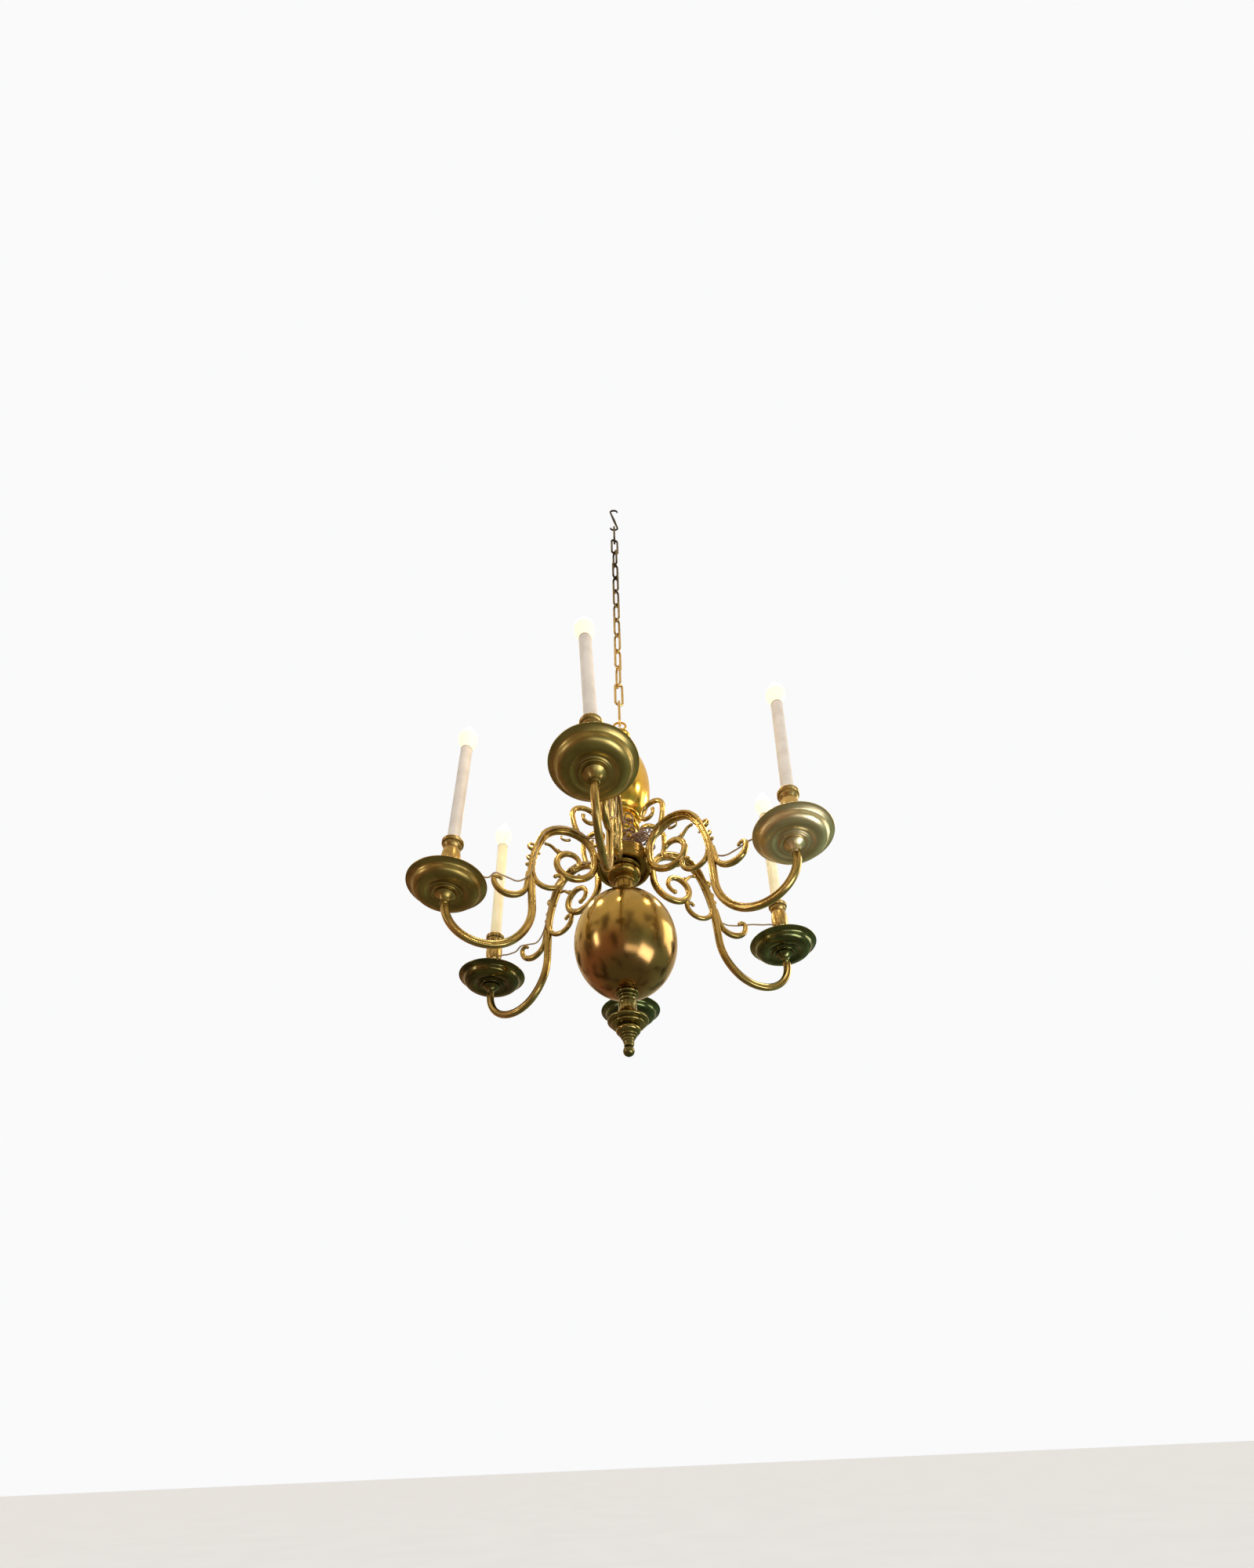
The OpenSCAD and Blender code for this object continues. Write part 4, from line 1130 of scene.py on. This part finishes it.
def make_coil():
    """Spare wire wound round the collar's waist, with a few loose loops that stand off it."""
    drum_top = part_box("hub_drum")[1].z / MM
    per_turn = 24
    points = []
    for k in range(COIL_TURNS * per_turn + 1):
        angle = CANDLES[1][2] + k * math.tau / per_turn
        r = COIL_R + 0.5 * math.sin(k * 0.9) + 0.35 * math.sin(k * 0.37)
        up = COIL_UP + k / per_turn * (COIL_WIRE + 0.6) + 0.8 * math.sin(k * 0.53)
        points.append((r * math.cos(angle), r * math.sin(angle), drum_top + up))
    loops = [wire("coil", points, COIL_WIRE)]
    draw = random.Random(7)
    for k in range(LOOSE_LOOPS):
        # loose loops bunch up beside the arm at the front right
        bearing = CANDLES[6][2] + math.radians(draw.uniform(-50, 34))
        near, far, high = draw.uniform(24, 32), draw.uniform(44, 66), draw.uniform(16, 76)
        turn, rise = draw.uniform(0.14, 0.42), draw.uniform(6, 16)
        ring = []
        for s in range(9):
            a = math.tau * s / 9
            r = (near + far) / 2 - (far - near) / 2 * math.cos(a)
            way = bearing + turn * math.sin(a)
            ring.append((r * math.cos(way), r * math.sin(way), drum_top + high + rise * math.sin(a + k)))
        loops.append(wire("loop", ring, LOOP_WIRE, True))
    finish_piece(joined("hub_wires_wound", loops), HUB_BODY, "wire_brown", WIRE, "hub_wires")


make_flexes()
make_coil()
for shape in (FLUTED, ROUND, SCROLL, LEAF):
    bpy.data.objects.remove(shape)


# ---------------------------------------------------------------- carried-over pieces

def dress_nodes():
    """Rod, nipples and screws keep the frame's own shape and take a worked finish."""
    finishes = {"centre_rod": STEEL, "candle_nipples": STEEL, "arm_screws": HUB}
    for node, material in finishes.items():
        mesh = frame["nodes"][node].data
        mesh.materials.clear()
        mesh.materials.append(material)


dress_nodes()


# ---------------------------------------------------------------- floor and light

FLOOR_Z = -3.9
FLOOR_SIZE = 120


def make_floor():
    """A pale matt floor far below; the brass and the matt pieces don't see it."""
    nothing_selected()
    bpy.ops.mesh.primitive_plane_add(size=FLOOR_SIZE, location=(0, 0, FLOOR_Z))
    floor = bpy.context.object
    floor.name = "studio_floor"
    material, tree, bsdf = shader("pale_floor")
    where = on_piece(tree)
    cloud = spread(tree, noise(tree, where, 0.8, 3), 0.3, 0.7)
    colour = blend_colours(tree, cloud, (0.84, 0.84, 0.85), (0.80, 0.80, 0.81))
    tree.links.new(colour, bsdf.inputs["Base Color"])
    bsdf.inputs["Roughness"].default_value = 0.8
    bsdf.inputs["Emission Color"].default_value = (1, 1, 1, 1)
    bsdf.inputs["Emission Strength"].default_value = 0.26
    floor.data.materials.append(material)
    floor.visible_glossy = False
    floor.visible_diffuse = False


def area_light(name, direction, distance, size, power, colour):
    """A soft panel that faces the hub from the given direction."""
    data = bpy.data.lights.new(name, "AREA")
    data.shape = "RECTANGLE"
    data.size, data.size_y = size
    data.energy = power
    data.color = colour
    light = linked(name, data)
    aim = Vector(direction).normalized()
    light.location = Vector((0, 0, LUG_Z * MM)) + aim * distance
    light.rotation_euler = aim.to_track_quat("Z", "Y").to_euler()
    light.visible_camera = False
    return light


GLOW_UP = SLEEVE_TOP + 100
GLOW_POWER = 1.3
GLOW_COLOUR = (1.0, 0.80, 0.50)


def make_lights():
    """Windows low in front and at the side, a warm ceiling, and a weak glow above each lamp."""
    area_light("window", (0.66, -0.50, -0.48), 2.6, (1.5, 0.9), 20, (1.0, 0.98, 0.92))
    area_light("window_band", (0.22, -0.80, -0.50), 2.8, (1.5, 0.5), 4.5, (1.0, 0.95, 0.84))
    area_light("far_window", (-0.88, -0.42, 0.02), 3.4, (0.5, 1.0), 8, (1.0, 0.97, 0.9))
    area_light("side_fill", (0.9, 0.2, 0.35), 3.0, (1.5, 1.5), 26, (1.0, 0.9, 0.72))
    overhead = area_light("ceiling_bounce", (0.1, -0.2, 1.0), 2.6, (3.0, 3.0), 26, (1.0, 0.86, 0.62))
    overhead.visible_glossy = False
    for arm in ARMS:
        foot, axis, _ = CANDLES[arm]
        data = bpy.data.lights.new(f"glow_{arm}", "POINT")
        data.energy = GLOW_POWER
        data.color = GLOW_COLOUR
        data.shadow_soft_size = 0.03
        glow = linked(f"glow_{arm}", data)
        glow.location = (foot + axis * GLOW_UP) * MM
        glow.visible_camera = False


def make_world():
    """White behind the object; for what the brass reflects, warm above, brown round about, dark below."""
    world = bpy.data.worlds.new("room")
    bpy.context.scene.world = world
    world.use_nodes = True
    tree = world.node_tree
    backdrop = tree.nodes["Background"]
    out = tree.nodes["World Output"]
    room = tree.nodes.new("ShaderNodeBackground")
    mix = tree.nodes.new("ShaderNodeMixShader")
    path = tree.nodes.new("ShaderNodeLightPath")
    seen = path.outputs["Is Camera Ray"]
    backdrop.inputs["Color"].default_value = (0.955, 0.955, 0.96, 1)
    split = tree.nodes.new("ShaderNodeSeparateXYZ")
    about = tree.nodes.new("ShaderNodeTexCoord").outputs["Generated"]
    tree.links.new(about, split.inputs["Vector"])
    across, up = split.outputs["X"], split.outputs["Z"]
    clutter = spread(tree, noise(tree, about, 2.6, 3, 0.55, 0.4), 0.50, 0.64)
    side = blend_colours(tree, spread(tree, across, -0.5, 0.6), (0.38, 0.21, 0.12), (0.27, 0.36, 0.22))
    low = blend_colours(tree, spread(tree, up, -0.85, -0.2), (0.16, 0.16, 0.09), side)
    band = maths(tree, "MULTIPLY", clutter, spread(tree, up, 0.5, 0.75, 1.0, 0.0))
    whole = blend_colours(tree, spread(tree, up, -0.05, 0.55), low, (0.82, 0.66, 0.41))
    whole = blend_colours(tree, maths(tree, "MULTIPLY", band, 0.85), whole, (0.05, 0.035, 0.02))
    # matt surfaces get plain white light from all round
    whole = blend_colours(tree, path.outputs["Is Diffuse Ray"], whole, (0.62, 0.62, 0.64))
    tree.links.new(whole, room.inputs["Color"])
    tree.links.new(seen, mix.inputs["Fac"])
    tree.links.new(room.outputs["Background"], mix.inputs[1])
    tree.links.new(backdrop.outputs["Background"], mix.inputs[2])
    tree.links.new(mix.outputs["Shader"], out.inputs["Surface"])


make_floor()
make_lights()
make_world()
bpy.context.scene.view_settings.view_transform = "Standard"
